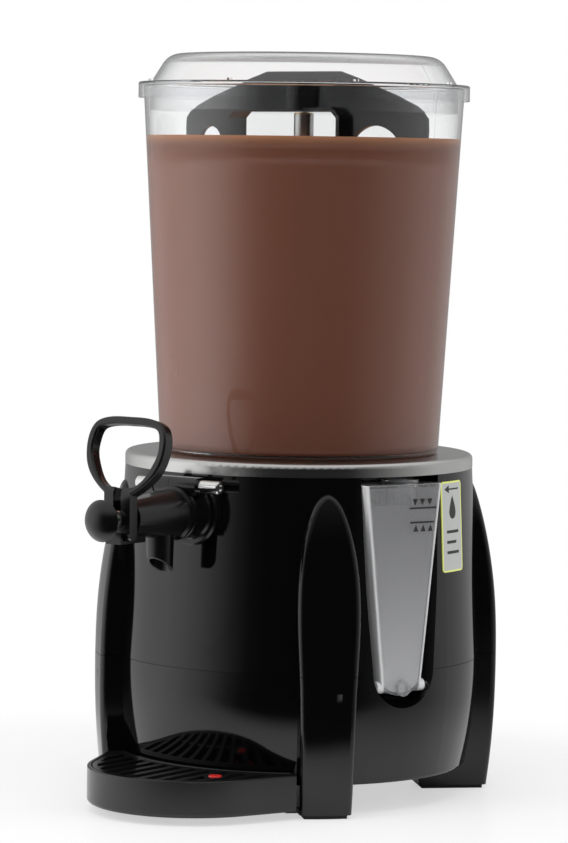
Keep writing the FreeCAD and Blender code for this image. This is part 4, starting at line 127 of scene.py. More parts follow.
def turned_piece(name, profile, steps=144, smooth=True):
    """A closed piece turned about the bowl's axis from (radius, height) points that start and end on it."""
    vertices = []
    rings = []
    for radius, height in profile:
        if radius < SAME_POINT:
            rings.append([len(vertices)])
            vertices.append((axis_x, axis_y, height))
            continue
        start = len(vertices)
        for k in range(steps):
            turn = 2 * math.pi * k / steps
            vertices.append((axis_x + radius * math.cos(turn), axis_y + radius * math.sin(turn), height))
        rings.append(list(range(start, start + steps)))
    faces = []
    for low, high in zip(rings, rings[1:]):
        for k in range(steps):
            n = (k + 1) % steps
            corners = [low[k % len(low)], low[n % len(low)], high[n % len(high)], high[k % len(high)]]
            faces.append(list(dict.fromkeys(corners)))
    return new_piece(name, vertices, faces, smooth)


def slab(name, outline, outward, depth):
    """A flat closed outline of points, pulled by depth along the outward direction."""
    lift = outward.normalized() * depth
    count = len(outline)
    vertices = [Vector(p) for p in outline] + [Vector(p) + lift for p in outline]
    faces = [list(range(count)), list(range(count, 2 * count))]
    for k in range(count):
        n = (k + 1) % count
        faces.append([k, n, count + n, count + k])
    return new_piece(name, vertices, faces)


def surface_of(node):
    """A search tree of a CAD node's triangles, for laying things on it."""
    mesh = frame["nodes"][node].data
    return BVHTree.FromPolygons([v.co for v in mesh.vertices], [p.vertices for p in mesh.polygons])


print("mesh helpers ready")

# %% [markdown]
# ## Node helpers
# A finish, the room and the dial's ticks are all graphs of nodes. Each could be wired link by link, but a
# function that makes one node, feeds its inputs and hands back its output lets a graph read like a formula.
# The input may be a plain value or another node's socket, and `plug` takes care of the difference.

# %% helpers that wire nodes
def plug(tree, value, socket):
    """Feed a socket from another node's socket, or write a plain value into it."""
    if isinstance(value, bpy.types.NodeSocket):
        tree.links.new(value, socket)
    else:
        socket.default_value = value


def reckoned(tree, operation, *values):
    """What a math node makes of numbers."""
    node = tree.nodes.new("ShaderNodeMath")
    node.operation = operation
    for value, socket in zip(values, node.inputs):
        plug(tree, value, socket)
    return node.outputs["Value"]


def measured(tree, operation, *vectors):
    """The number that a vector math node makes of vectors."""
    node = tree.nodes.new("ShaderNodeVectorMath")
    node.operation = operation
    for vector, socket in zip(vectors, node.inputs):
        plug(tree, vector, socket)
    return node.outputs["Value"]


def mapped(tree, value, start, end, low=0.0, high=1.0, smooth=False):
    """Goes from low to high while the value goes from start to end, and stays there beyond them."""
    node = tree.nodes.new("ShaderNodeMapRange")
    node.interpolation_type = "SMOOTHSTEP" if smooth else "LINEAR"
    plug(tree, value, node.inputs["Value"])
    plug(tree, start, node.inputs["From Min"])
    plug(tree, end, node.inputs["From Max"])
    plug(tree, low, node.inputs["To Min"])
    plug(tree, high, node.inputs["To Max"])
    return node.outputs["Result"]


def mixed_colour(tree, factor, first, second):
    """The first colour where the factor is nought and the second where it is one."""
    mix = tree.nodes.new("ShaderNodeMix")
    mix.data_type = "RGBA"
    colours = [s for s in mix.inputs if s.type == "RGBA"]
    for socket, value in zip(colours, (first, second)):
        plug(tree, value if isinstance(value, bpy.types.NodeSocket) else (*value, 1), socket)
    plug(tree, factor, mix.inputs[0])
    return [s for s in mix.outputs if s.type == "RGBA"][0]


def object_place(tree):
    """Where the shaded point lies on its piece, in metres."""
    return tree.nodes.new("ShaderNodeTexCoord").outputs["Object"]


def height_of(tree, place):
    parts = tree.nodes.new("ShaderNodeSeparateXYZ")
    plug(tree, place, parts.inputs["Vector"])
    return parts.outputs["Z"]


def off_middle(tree, middle, direction):
    """How far the shaded point lies from the middle along a direction, to either side."""
    reach = measured(tree, "DOT_PRODUCT", object_place(tree), direction)
    return reckoned(tree, "ABSOLUTE", reckoned(tree, "SUBTRACT", reach, middle.dot(direction)))


print("node helpers ready")

# %% [markdown]
# ## Material helpers
# Every finish starts from one Principled shader. Moulded plastic, steel and rubber differ in how wide the
# noise is that breaks up their roughness and how deep their grain is, so small helpers add those layers.
# They read Object coordinates: every piece sits at the origin, so a pattern is in true metres and stays
# put on the piece when it moves.

# %% helpers that make a finish
MICRON = 0.000001
NOISE_LOW = 0.3
NOISE_HIGH = 0.7
PLASTIC_IOR = 1.5
PATCH_WAVES = 18.0
METAL_PATCH_WAVES = 14.0
METAL_DETAIL = 6.0
finishes = {}


def new_finish(name):
    """A fresh material; a plain one that came in with the CAD under the same name makes way for it."""
    plain_one = bpy.data.materials.get(name)
    if plain_one:
        bpy.data.materials.remove(plain_one)
    material = bpy.data.materials.new(name)
    material.use_nodes = True
    finishes[name] = material
    return material


def set_shader(material, **inputs):
    """Fill in the Principled shader; an input's name is written with _ for each space."""
    shader = material.node_tree.nodes["Principled BSDF"]
    for name, value in inputs.items():
        plug(material.node_tree, value, shader.inputs[name.replace("_", " ")])


def add_noise(tree, waves, detail=4.0, stretch=(1, 1, 1)):
    """Noise in Object coordinates, in waves per metre."""
    mapping = tree.nodes.new("ShaderNodeMapping")
    noise = tree.nodes.new("ShaderNodeTexNoise")
    plug(tree, object_place(tree), mapping.inputs["Vector"])
    plug(tree, stretch, mapping.inputs["Scale"])
    plug(tree, mapping.outputs["Vector"], noise.inputs["Vector"])
    plug(tree, waves, noise.inputs["Scale"])
    plug(tree, detail, noise.inputs["Detail"])
    return noise.outputs["Fac"]


def spread(tree, noise, low, high):
    """The noise's middle range stretched over low to high."""
    return mapped(tree, noise, NOISE_LOW, NOISE_HIGH, low, high)


def add_bump(material, source, depth):
    """A grain whose depth is in micrometres."""
    tree = material.node_tree
    bump = tree.nodes.new("ShaderNodeBump")
    plug(tree, 1.0, bump.inputs["Strength"])
    plug(tree, depth * MICRON, bump.inputs["Distance"])
    plug(tree, source, bump.inputs["Height"])
    set_shader(material, Normal=bump.outputs["Normal"])


def plastic(name, dark, light, rough, grain, depth):
    """Moulded plastic: two close shades in wide patches, an uneven sheen and a fine grain."""
    material = new_finish(name)
    tree = material.node_tree
    wide = add_noise(tree, PATCH_WAVES)
    set_shader(
        material, IOR=PLASTIC_IOR, Base_Color=mixed_colour(tree, wide, dark, light),
        Roughness=spread(tree, wide, *rough),
    )
    add_bump(material, add_noise(tree, grain), depth)
    return material


def metal(name, dark, light, rough, grain, depth, stretch=(1, 1, 1)):
    """Metal with a brushed or turned grain drawn out along one direction."""
    material = new_finish(name)
    tree = material.node_tree
    brushed = add_noise(tree, grain, METAL_DETAIL, stretch)
    shade = mixed_colour(tree, add_noise(tree, METAL_PATCH_WAVES), dark, light)
    set_shader(material, Metallic=1.0, Base_Color=shade, Roughness=spread(tree, brushed, *rough))
    add_bump(material, brushed, depth)
    return material


print("finish helpers ready")

# %% [markdown]
# ## Black plastics
# The body is injection-moulded and polished: almost a mirror, but with a faint unevenness that makes the
# reflections swim a little. The tap, knob and paddle come out of spark-eroded moulds, so they are satin.
# A darker and a lighter black in wide patches keeps both from looking like flat paint.

# %% black plastics
plastic(
    "gloss_black", dark=(0.0012, 0.0012, 0.0013), light=(0.002, 0.002, 0.0022),
    rough=(0.05, 0.085), grain=9.0, depth=60,
)
plastic(
    "satin_black", dark=(0.0025, 0.0025, 0.0027), light=(0.004, 0.004, 0.0043),
    rough=(0.17, 0.26), grain=2200.0, depth=6,
)
plastic(
    "tray_black", dark=(0.006, 0.006, 0.0065), light=(0.01, 0.01, 0.011),
    rough=(0.14, 0.24), grain=900.0, depth=10,
)
print("finishes so far:", ", ".join(finishes))

# %% [markdown]
# ## Clear plastics
# The bowl, lid and hopper are polycarbonate. Glass shading with the plastic's own refractive index gives
# the dark and bright lines at thick edges for free, because the CAD walls have their true thickness. A
# trace of roughness in patches stands for washing haze. The hopper is milkier, so it gets a matte share.

# %% clear plastics
HAZE_WAVES = 25.0
HOPPER_COLOUR = (0.91, 0.915, 0.93)
HOPPER_CLEARNESS = 0.88


def clear_plastic(name, colour, rough, clearness=1.0):
    """Clear plastic with a trace of haze in patches."""
    material = new_finish(name)
    haze = add_noise(material.node_tree, HAZE_WAVES)
    set_shader(
        material, Base_Color=(*colour, 1), Transmission_Weight=clearness, IOR=PLASTIC_IOR,
        Roughness=spread(material.node_tree, haze, *rough),
    )
    return material


clear_plastic("clear_bowl", (0.97, 0.975, 0.975), rough=(0.0, 0.03))
clear_plastic("clear_lid", (0.97, 0.975, 0.98), rough=(0.0, 0.03))
clear_hopper = clear_plastic("clear_hopper", HOPPER_COLOUR, rough=(0.03, 0.08), clearness=HOPPER_CLEARNESS)
print("finishes so far:", len(finishes))

# %% [markdown]
# ## Metals
# The deck is spun from brushed sheet, so its grain runs round the machine. Stretching noise along a circle
# needs polar coordinates: the distance from the axis and the height are fed in instead of x and y, which
# leaves no change along the circle at all. Rods and screws use plain stretched noise.

# %% metals
SPUN_DETAIL = 5.0


def spun_steel(name, dark, light, rough, grain, depth):
    """Steel whose brushing runs round the bowl's axis."""
    material = new_finish(name)
    tree = material.node_tree
    place = object_place(tree)
    flat = tree.nodes.new("ShaderNodeMapping")
    plug(tree, place, flat.inputs["Vector"])
    plug(tree, (-axis_x, -axis_y, 0), flat.inputs["Location"])
    plug(tree, (1, 1, 0), flat.inputs["Scale"])
    polar = tree.nodes.new("ShaderNodeCombineXYZ")
    plug(tree, measured(tree, "LENGTH", flat.outputs["Vector"]), polar.inputs["X"])
    plug(tree, height_of(tree, place), polar.inputs["Y"])
    brushed = tree.nodes.new("ShaderNodeTexNoise")
    plug(tree, polar.outputs["Vector"], brushed.inputs["Vector"])
    plug(tree, grain, brushed.inputs["Scale"])
    plug(tree, SPUN_DETAIL, brushed.inputs["Detail"])
    lines = brushed.outputs["Fac"]
    shade = mixed_colour(tree, lines, dark, light)
    set_shader(material, Metallic=1.0, Base_Color=shade, Roughness=spread(tree, lines, *rough))
    add_bump(material, lines, depth)
    return material


spun_steel(
    "stainless", dark=(0.5, 0.5, 0.49), light=(0.6, 0.6, 0.59), rough=(0.16, 0.26), grain=3500.0, depth=4,
)
bright_steel = metal(
    "bright_steel", dark=(0.7, 0.7, 0.69), light=(0.78, 0.78, 0.77), rough=(0.12, 0.2),
    grain=200.0, depth=2, stretch=(1, 30, 30),
)
metal(
    "zinc_steel", dark=(0.5, 0.5, 0.48), light=(0.6, 0.6, 0.58), rough=(0.3, 0.42), grain=400.0, depth=3,
)
metal(
    "heater_sheath", dark=(0.3, 0.29, 0.26), light=(0.42, 0.41, 0.38), rough=(0.35, 0.5),
    grain=300.0, depth=4,
)
metal(
    "brass_bush", dark=(0.62, 0.45, 0.2), light=(0.72, 0.55, 0.28), rough=(0.25, 0.38),
    grain=500.0, depth=3, stretch=(1, 1, 20),
)
print("finishes so far:", len(finishes))

# %% [markdown]
# ## Rubber, nylon, enamel and coloured plastics
# These are small parts, most of them seen only from below or from behind, but each has its own finish:
# matte rubber, milky nylon for the gears, grey enamel on the motor, and clear colours for the key and lamp.

# %% small parts' finishes
plastic(
    "food_rubber", dark=(0.02, 0.02, 0.02), light=(0.035, 0.035, 0.035),
    rough=(0.6, 0.75), grain=1500.0, depth=30,
)
plastic(
    "hose_rubber", dark=(0.4, 0.4, 0.38), light=(0.5, 0.5, 0.47),
    rough=(0.45, 0.6), grain=900.0, depth=30,
)
plastic(
    "foot_rubber", dark=(0.012, 0.012, 0.012), light=(0.02, 0.02, 0.02),
    rough=(0.7, 0.85), grain=1200.0, depth=50,
)
plastic(
    "float_red", dark=(0.42, 0.012, 0.01), light=(0.52, 0.02, 0.015),
    rough=(0.25, 0.35), grain=800.0, depth=10,
)
plastic(
    "gear_nylon", dark=(0.68, 0.66, 0.6), light=(0.78, 0.76, 0.7),
    rough=(0.4, 0.5), grain=700.0, depth=10,
)
plastic(
    "motor_case", dark=(0.05, 0.05, 0.055), light=(0.07, 0.07, 0.075),
    rough=(0.35, 0.5), grain=1000.0, depth=30,
)
plastic(
    "rocker_green", dark=(0.01, 0.2, 0.04), light=(0.015, 0.26, 0.06),
    rough=(0.15, 0.22), grain=600.0, depth=4,
)
plastic(
    "lamp_orange", dark=(0.7, 0.16, 0.01), light=(0.8, 0.22, 0.02),
    rough=(0.1, 0.16), grain=500.0, depth=4,
)
print("finishes so far:", len(finishes))

# %% [markdown]
# ## The label's plate
# The label on the side is a grey printed plate with a yellow-green edge. The edge is as easy to draw in the
# material as in the mesh: the distance across the plate and up it, measured from the plate's middle, says
# whether a point lies within the coloured border.

# %% label plate
def facing(degrees):
    """The directions across and outward from an upright face that is turned so far from the front."""
    turn = math.radians(degrees)
    return Vector((math.cos(turn), math.sin(turn), 0)), Vector((math.sin(turn), -math.cos(turn), 0))


label_across, label_outward = facing(94.5)
label_low, label_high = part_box("side_label")
label_middle = Vector((axis_x, axis_y, (label_low.z + label_high.z) / 2))
label_half_height = (label_high.z - label_low.z) / 2
label_half_width = 15.5 * MM
label_border = 1.3 * MM
upwards = Vector((0, 0, 1))


def label_finish():
    material = new_finish("label_grey")
    tree = material.node_tree
    edges = []
    for direction, half in ((label_across, label_half_width), (upwards, label_half_height)):
        off = off_middle(tree, label_middle, direction)
        edges.append(reckoned(tree, "GREATER_THAN", off, half - label_border))
    border = reckoned(tree, "MAXIMUM", *edges)
    wide = add_noise(tree, 60.0)
    face = mixed_colour(tree, wide, (0.35, 0.36, 0.35), (0.39, 0.4, 0.385))
    printed = mixed_colour(tree, border, face, (0.62, 0.66, 0.16))
    set_shader(material, Base_Color=printed, Roughness=spread(tree, wide, 0.34, 0.44))
    add_bump(material, add_noise(tree, 1800.0), depth=6)


label_finish()
print("label", round(label_half_height * 2 / MM), "mm high")

# %% [markdown]
# ## Dressing the CAD pieces
# The record names a finish slot for every CAD piece, and the materials above carry the same names, so one
# loop dresses them all. Only the material slots change: the meshes are the CAD's.

# %% dress the CAD nodes
for subpart in frame["record"]["subparts"]:
    node = frame["nodes"][subpart["node"]]
    node.data.materials.clear()
    node.data.materials.append(finishes[subpart["material_slot"]])

# %% [markdown]
# ## The tap's return spring
# The spring sits between the gland and the valve's head, so it shortens when the handle is pulled. A
# rigid CAD piece can't do that. The loose piece here has the same coils and stands in for it, attached to
# the base at its rest length.

# %% return spring
coils = frame["nodes"]["tap_spring"].data
coil_points = [vertex.co.copy() for vertex in coils.vertices]
coil_faces = [list(polygon.vertices) for polygon in coils.polygons]
return_spring = new_piece("return_spring", coil_points, coil_faces, smooth=True)
return_spring.data.materials.append(bright_steel)
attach(return_spring, "base")
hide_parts("tap_spring")
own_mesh(return_spring)

# %% [markdown]
# ## The hot chocolate
# The drink fills the bowl until only the paddle's top stands out. Its shape is the bowl's own inside, so it
# is turned from a profile that runs along the wall. It bites a hair's breadth into the wall: a real drink
# wets the plastic and leaves no film of air, which would mirror the room. At the top it climbs the wall in
# a small meniscus. The well below the deck holds the rest, as a piece of its own that stays with the
# machine when the bowl is lifted off; the well is steel, so there the drink stops just short of it.

# %% hot chocolate
BOWL_WALL = 3.0 * MM
BOWL_COLLAR = 14.0 * MM
WALL_BITE = 0.15 * MM
WELL_ROOM = 0.05 * MM
COLLAR_ROOM = 0.3 * MM
bowl_foot_radius = 109.9 * MM
bowl_rim_radius = (bowl_high.x - bowl_low.x) / 2
bowl_seat_height = bowl_low.z + BOWL_COLLAR
bowl_floor_top = bowl_seat_height + BOWL_WALL
bowl_lean = (bowl_rim_radius - bowl_foot_radius) / (bowl_high.z - bowl_seat_height)
drink_level = 515.0 * MM
meniscus = 2.2 * MM
corner_radius = 6.0 * MM
well_radius = 88.0 * MM - WELL_ROOM
well_floor = 214.0 * MM + WELL_ROOM
well_corner = 10.0 * MM
CORNER_STEPS = 6
WALL_STEPS = 9
MENISCUS_STEPS = 4
WELL_STEPS = 5
SURFACE_RINGS = (0.8, 0.6, 0.4, 0.2)


def drink_radius(height):
    return bowl_foot_radius - BOWL_WALL + WALL_BITE + bowl_lean * (height - bowl_seat_height)


def round_corner(outer, floor, radius, steps):
    """(radius, height) points of a quarter round that turns from a floor into an upright wall."""
    turns = [math.radians(90 * k / steps) for k in range(steps + 1)]
    return [(outer - radius * (1 - math.sin(t)), floor + radius * (1 - math.cos(t))) for t in turns]


def drink_profile():
    floor = bowl_floor_top - WALL_BITE
    corner_top = floor + corner_radius
    points = [(0, floor)] + round_corner(drink_radius(corner_top), floor, corner_radius, CORNER_STEPS)
    for k in range(1, WALL_STEPS):
        height = corner_top + (drink_level - corner_top) * k / WALL_STEPS
        points.append((drink_radius(height), height))
    rim = drink_radius(drink_level)
    climb = meniscus / 2
    points.append((rim, drink_level + climb))
    for k in range(1, MENISCUS_STEPS + 1):
        points.append((rim - climb * k, drink_level + climb * (1 - k / MENISCUS_STEPS) ** 2))
    points += [(rim * share, drink_level) for share in SURFACE_RINGS]
    points.append((0, drink_level))
    return points


hot_chocolate = turned_piece("hot_chocolate", drink_profile())
collar_bottom = bowl_low.z - COLLAR_ROOM
well_profile = [(0, well_floor)] + round_corner(well_radius, well_floor, well_corner, WELL_STEPS)
well_profile += [(well_radius, collar_bottom), (0, collar_bottom)]
well_chocolate = turned_piece("well_chocolate", well_profile)
print("drink radius at the top", round(drink_radius(drink_level) / MM, 1), "mm")

# %% [markdown]
# The drink is opaque and a little glossy, with cocoa slightly unevenly mixed in. Near the top it is painted
# lighter and warmer, a painted glow for the light that comes in from above, so the colour follows the
# height.

# %% hot chocolate's finish
PAINTED_TOP_LIGHT_DEPTH = 12.0 * MM
PAINTED_TOP_LIGHT_FADE = 3.0


def chocolate_finish():
    material = new_finish("hot_chocolate")
    tree = material.node_tree
    rise = mapped(tree, height_of(tree, object_place(tree)), drink_level - PAINTED_TOP_LIGHT_DEPTH, drink_level)
    painted_top_light = reckoned(tree, "POWER", rise, PAINTED_TOP_LIGHT_FADE)
    swirl = add_noise(tree, 16.0, detail=3.0, stretch=(1, 1, 0.35))
    body = mixed_colour(tree, swirl, (0.29, 0.112, 0.068), (0.315, 0.122, 0.075))
    # Painted light: near the top the drink is coloured lighter and warmer for the light that comes in from
    # above.
    colour = mixed_colour(tree, painted_top_light, body, (0.85, 0.38, 0.19))
    set_shader(material, Base_Color=colour, Roughness=spread(tree, swirl, 0.2, 0.28))
    add_bump(material, add_noise(tree, 420.0, detail=5.0), depth=20)
    return material


chocolate = chocolate_finish()
for piece, body in ((hot_chocolate, "bowl"), (well_chocolate, "base")):
    piece.data.materials.append(chocolate)
    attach(piece, body)
print("chocolate in", hot_chocolate.name, "and", well_chocolate.name)

# %% [markdown]
# ## The hopper's water
# The hopper is turned 71 degrees from the front. Its water is a slab with the hopper's inner outline: two
# leaning sides and a round bottom. The water is milky with scale, so it is partly clear and partly matte,
# and more matte lower down. That also makes its level readable through the clear wall.

# %% hopper water
hopper_across, hopper_outward = facing(71.4)
hopper_front = 138.5 * MM
hopper_back = 106.0 * MM
hopper_wall = 2.5 * MM
hopper_rim = 252.2 * MM
hopper_waist = 99.0 * MM
hopper_bottom = 90.0 * MM
hopper_top_half = 36.0 * MM
hopper_waist_half = 19.0 * MM
water_level = 236.5 * MM
FOOT_STEPS = 12
WATER_IOR = 1.33
CLEARNESS_AT_LEVEL = 0.62
CLEARNESS_AT_BOTTOM = 0.12
axis_point = Vector((axis_x, axis_y, 0))


def at_hopper(across, depth, height):
    return axis_point + hopper_across * across + hopper_outward * depth + Vector((0, 0, height))


def hopper_half_width(height):
    lean = (hopper_top_half - hopper_waist_half) / (hopper_rim - hopper_waist)
    return hopper_waist_half + lean * (height - hopper_waist)


def hopper_outline(inset, top, depth):
    """The hopper's outline, drawn in by the inset, from the top round the bottom and back."""
    waist = hopper_waist_half - inset
    low = hopper_bottom + inset
    drop = hopper_waist - low
    radius = (waist**2 + drop**2) / (2 * drop)
    sweep = math.asin(waist / radius)
    points = [at_hopper(hopper_half_width(top) - inset, depth, top)]
    for k in range(FOOT_STEPS + 1):
        turn = sweep * (1 - 2 * k / FOOT_STEPS)
        points.append(at_hopper(radius * math.sin(turn), depth, low + radius * (1 - math.cos(turn))))
    points.append(at_hopper(-hopper_half_width(top) + inset, depth, top))
    return points


water_inset = hopper_wall - WALL_BITE
hopper_water = slab(
    "hopper_water",
    hopper_outline(water_inset, water_level, hopper_back + water_inset),
    hopper_outward,
    hopper_front - hopper_back - 2 * water_inset,
)


def cloudy_water():
    """Milky water that is whiter and less clear lower down."""
    material = new_finish("cloudy_water")
    tree = material.node_tree
    depth = mapped(tree, height_of(tree, object_place(tree)), water_level, hopper_bottom)
    cloud = add_noise(tree, 30.0)
    top = mixed_colour(tree, cloud, (0.5, 0.5, 0.52), (0.58, 0.58, 0.6))
    clearness = mapped(tree, depth, 0, 1, CLEARNESS_AT_LEVEL, CLEARNESS_AT_BOTTOM)
    set_shader(
        material, IOR=WATER_IOR, Transmission_Weight=clearness,
        Base_Color=mixed_colour(tree, depth, top, (0.93, 0.93, 0.94)),
        Roughness=spread(tree, cloud, 0.08, 0.16),
    )
    return material


hopper_water.data.materials.append(cloudy_water())
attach(hopper_water, "hopper")
print("water level", round(water_level / MM, 1), "mm")

# %% [markdown]
# Light runs along the hopper's side walls and leaves through their edges, so they look whiter than its
# front. That light is painted in: where the outline above says the walls are, the plastic turns half matte
# and white.

# %% hopper side walls
WALL_PAINTED_LIGHT_START = -1.3 * hopper_wall
WALL_PAINTED_LIGHT_END = -0.5 * hopper_wall
WALL_PAINTED_LIGHT_COLOUR = (0.96, 0.96, 0.97)
WALL_PAINTED_LIGHT_CLEARNESS = 0.45


def paint_light_on_side_walls():
    tree = clear_hopper.node_tree
    height = height_of(tree, object_place(tree))
    half_width = mapped(tree, height, hopper_waist, hopper_rim, hopper_waist_half, hopper_top_half)
    beyond = reckoned(tree, "SUBTRACT", off_middle(tree, axis_point, hopper_across), half_width)
    # Painted highlight: the side walls turn half matte and white for the light that leaves their edges.
    wall = mapped(tree, beyond, WALL_PAINTED_LIGHT_START, WALL_PAINTED_LIGHT_END)
    set_shader(
        clear_hopper, Transmission_Weight=mapped(tree, wall, 0, 1, HOPPER_CLEARNESS, WALL_PAINTED_LIGHT_CLEARNESS),
        Base_Color=mixed_colour(tree, wall, HOPPER_COLOUR, WALL_PAINTED_LIGHT_COLOUR),
    )


paint_light_on_side_walls()
print("hopper walls", round(hopper_wall / MM, 1), "mm thick")

# %% [markdown]
# ## The hopper's level marks
# Two level bars are printed on the hopper's front, each with three arrows that point down at the highest
# level and up at the lowest. Signs like these need no words. They are thin slabs of ink on the flat front.

# %% level marks
INK = 0.12 * MM
LEVEL_BAR = 1.3
ARROWS = 3
FIRST_ARROW = 5.5
ARROW_PITCH = 7.0
ARROW_ROOM = 1.2
ARROW_FAR = 6.4
ARROW_HALF = 2.4
ink_black = plastic(
    "ink_black", dark=(0.012, 0.012, 0.013), light=(0.02, 0.02, 0.021),
    rough=(0.4, 0.5), grain=1500.0, depth=4,
)


def front_mark(name, corners):
    """A flat mark on the hopper's front from (across, height) corners in millimetres."""
    outline = [at_hopper(a * MM, hopper_front, h * MM) for a, h in corners]
    mark = slab(name, outline, hopper_outward, INK)
    mark.data.materials.append(ink_black)
    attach(mark, "hopper")


def level_mark(name, left, right, height, points_down):
    """A bar with a row of arrows that point at it, from above or from below."""
    top = height + LEVEL_BAR
    front_mark(name + "_bar", [(left, height), (right, height), (right, top), (left, top)])
    edge, side = (top, 1) if points_down else (height, -1)
    tip = edge + side * ARROW_ROOM
    foot = edge + side * ARROW_FAR
    for k in range(ARROWS):
        middle = left + FIRST_ARROW + ARROW_PITCH * k
        corners = [(middle, tip), (middle - ARROW_HALF, foot), (middle + ARROW_HALF, foot)]
        front_mark(name + "_arrow_" + str(k + 1), corners)


level_mark("high_level", left=5.0, right=31.0, height=233.0, points_down=True)
level_mark("low_level", left=6.0, right=29.0, height=222.0, points_down=False)
print("level marks on the hopper's front")

# %% [markdown]
# ## The label's print
# The label shows an arrow towards the hopper, a drop and three bars: generic signs for "fill with water
# here". They lie on a curved plate, so each mark is built of narrow columns whose corners are dropped
# onto the label's surface with a ray, and then given the thickness of ink.

# %% marks laid on the label
INK_SINK = 0.02 * MM
RAY_START = 0.2
label_surface = surface_of("side_label")


def on_label(across, height, lift):
    """The point of the label's face at a distance across and a height, raised by lift."""
    start = axis_point + label_outward * RAY_START + label_across * across + Vector((0, 0, height))
    return label_surface.ray_cast(start, -label_outward)[0] + label_outward * lift


def laid_mark(name, columns, rows=4):
    """A mark from (across, low, high) columns in millimetres, laid on the label."""
    vertices = []
    for lift in (-INK_SINK, INK):
        for across, low, high in columns:
            for k in range(rows + 1):
                vertices.append(on_label(across * MM, (low + (high - low) * k / rows) * MM, lift))
    side = len(columns) * (rows + 1)
    faces = []
    for c in range(len(columns) - 1):
        for r in range(rows):
            a = c * (rows + 1) + r
            b = a + rows + 1
            faces.append([a, a + 1, b + 1, b])
            faces.append([side + a, side + b, side + b + 1, side + a + 1])
    border = [c * (rows + 1) for c in range(len(columns))]
    border += [(len(columns) - 1) * (rows + 1) + r for r in range(1, rows + 1)]
    border += [c * (rows + 1) + rows for c in range(len(columns) - 2, -1, -1)]
    border += list(range(rows - 1, 0, -1))
    for k, a in enumerate(border):
        b = border[(k + 1) % len(border)]
        faces.append([a, b, side + b, side + a])
    mark = new_piece(name, vertices, faces)
    mark.data.materials.append(ink_black)
    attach(mark, "base")


def bar_columns(left, right, low, high, step=1.5):
    count = max(1, round((right - left) / step))
    return [(left + (right - left) * k / count, low, high) for k in range(count + 1)]


print("label surface ready")

# %% [markdown]
# The three signs stand below each other. The arrow's head widens column by column, the drop is a round
# foot under a point that curves in, and the bars stand where a line of words would.

# %% arrow, drop and bars
ARROW_HEIGHT = 246.0
SHAFT_HALF = 0.6
HEAD_TIP = -11.0
HEAD_STEP = 1.5
HEAD_SLOPE = 0.5
HEAD_COLUMNS = 5
BLUNT = 0.03
shaft_columns = bar_columns(-5.0, 10.0, ARROW_HEIGHT - SHAFT_HALF, ARROW_HEIGHT + SHAFT_HALF)
laid_mark("label_arrow_shaft", shaft_columns)
head_columns = []
for k in range(HEAD_COLUMNS):
    half = BLUNT + HEAD_STEP * HEAD_SLOPE * k
    head_columns.append((HEAD_TIP + HEAD_STEP * k, ARROW_HEIGHT - half, ARROW_HEIGHT + half))
laid_mark("label_arrow_head", head_columns)

DROP_MIDDLE = 228.0
DROP_RADIUS = 5.0
DROP_POINT = 11.0
DROP_CURVE = 0.8
DROP_SHOULDER = 0.35
DROP_BLUNT = 0.05
DROP_COLUMNS = 12


def drop_columns():
    columns = []
    for k in range(DROP_COLUMNS + 1):
        across = DROP_RADIUS * (2 * k / DROP_COLUMNS - 1)
        half = math.sqrt(max(0.0, DROP_RADIUS**2 - across**2))
        point = DROP_POINT * (1 - abs(across) / DROP_RADIUS) ** DROP_CURVE
        top = DROP_MIDDLE + point + half * DROP_SHOULDER
        columns.append((across, DROP_MIDDLE - half - DROP_BLUNT, top + DROP_BLUNT))
    return columns


laid_mark("label_drop", drop_columns(), rows=8)

BARS_LEFT = -9.0
BARS_FOOT = 212.0
BAR_PITCH = 8.0
BAR_THICKNESS = 2.2
for k, width in enumerate((18.0, 14.0, 18.0)):
    foot = BARS_FOOT - BAR_PITCH * k
    columns = bar_columns(BARS_LEFT, BARS_LEFT + width, foot, foot + BAR_THICKNESS)
    laid_mark("label_bar_" + str(k + 1), columns)
print("marks laid on the label")

# %% [markdown]
# ## The dial's scale
# Round the thermostat's knob at the back runs a printed scale. Eleven ticks at even angles are a job for
# Geometry Nodes: points on an arc, one small bar instanced on each and turned to face the middle, with the
# radius, sweep and count as inputs. The result is turned into a plain mesh, because instances don't export.

# %% dial scale with Geometry Nodes
DIAL_SCALE_DROP = 0.6 * MM
knob_low, knob_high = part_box("thermostat_knob")
dial_height = (knob_low.z + knob_high.z) / 2
dial_middle = Vector(((knob_low.x + knob_high.x) / 2, knob_low.y - DIAL_SCALE_DROP, dial_height))
white_print = plastic(
    "white_print", dark=(0.6, 0.6, 0.6), light=(0.68, 0.68, 0.68), rough=(0.4, 0.5), grain=1200.0, depth=4,
)


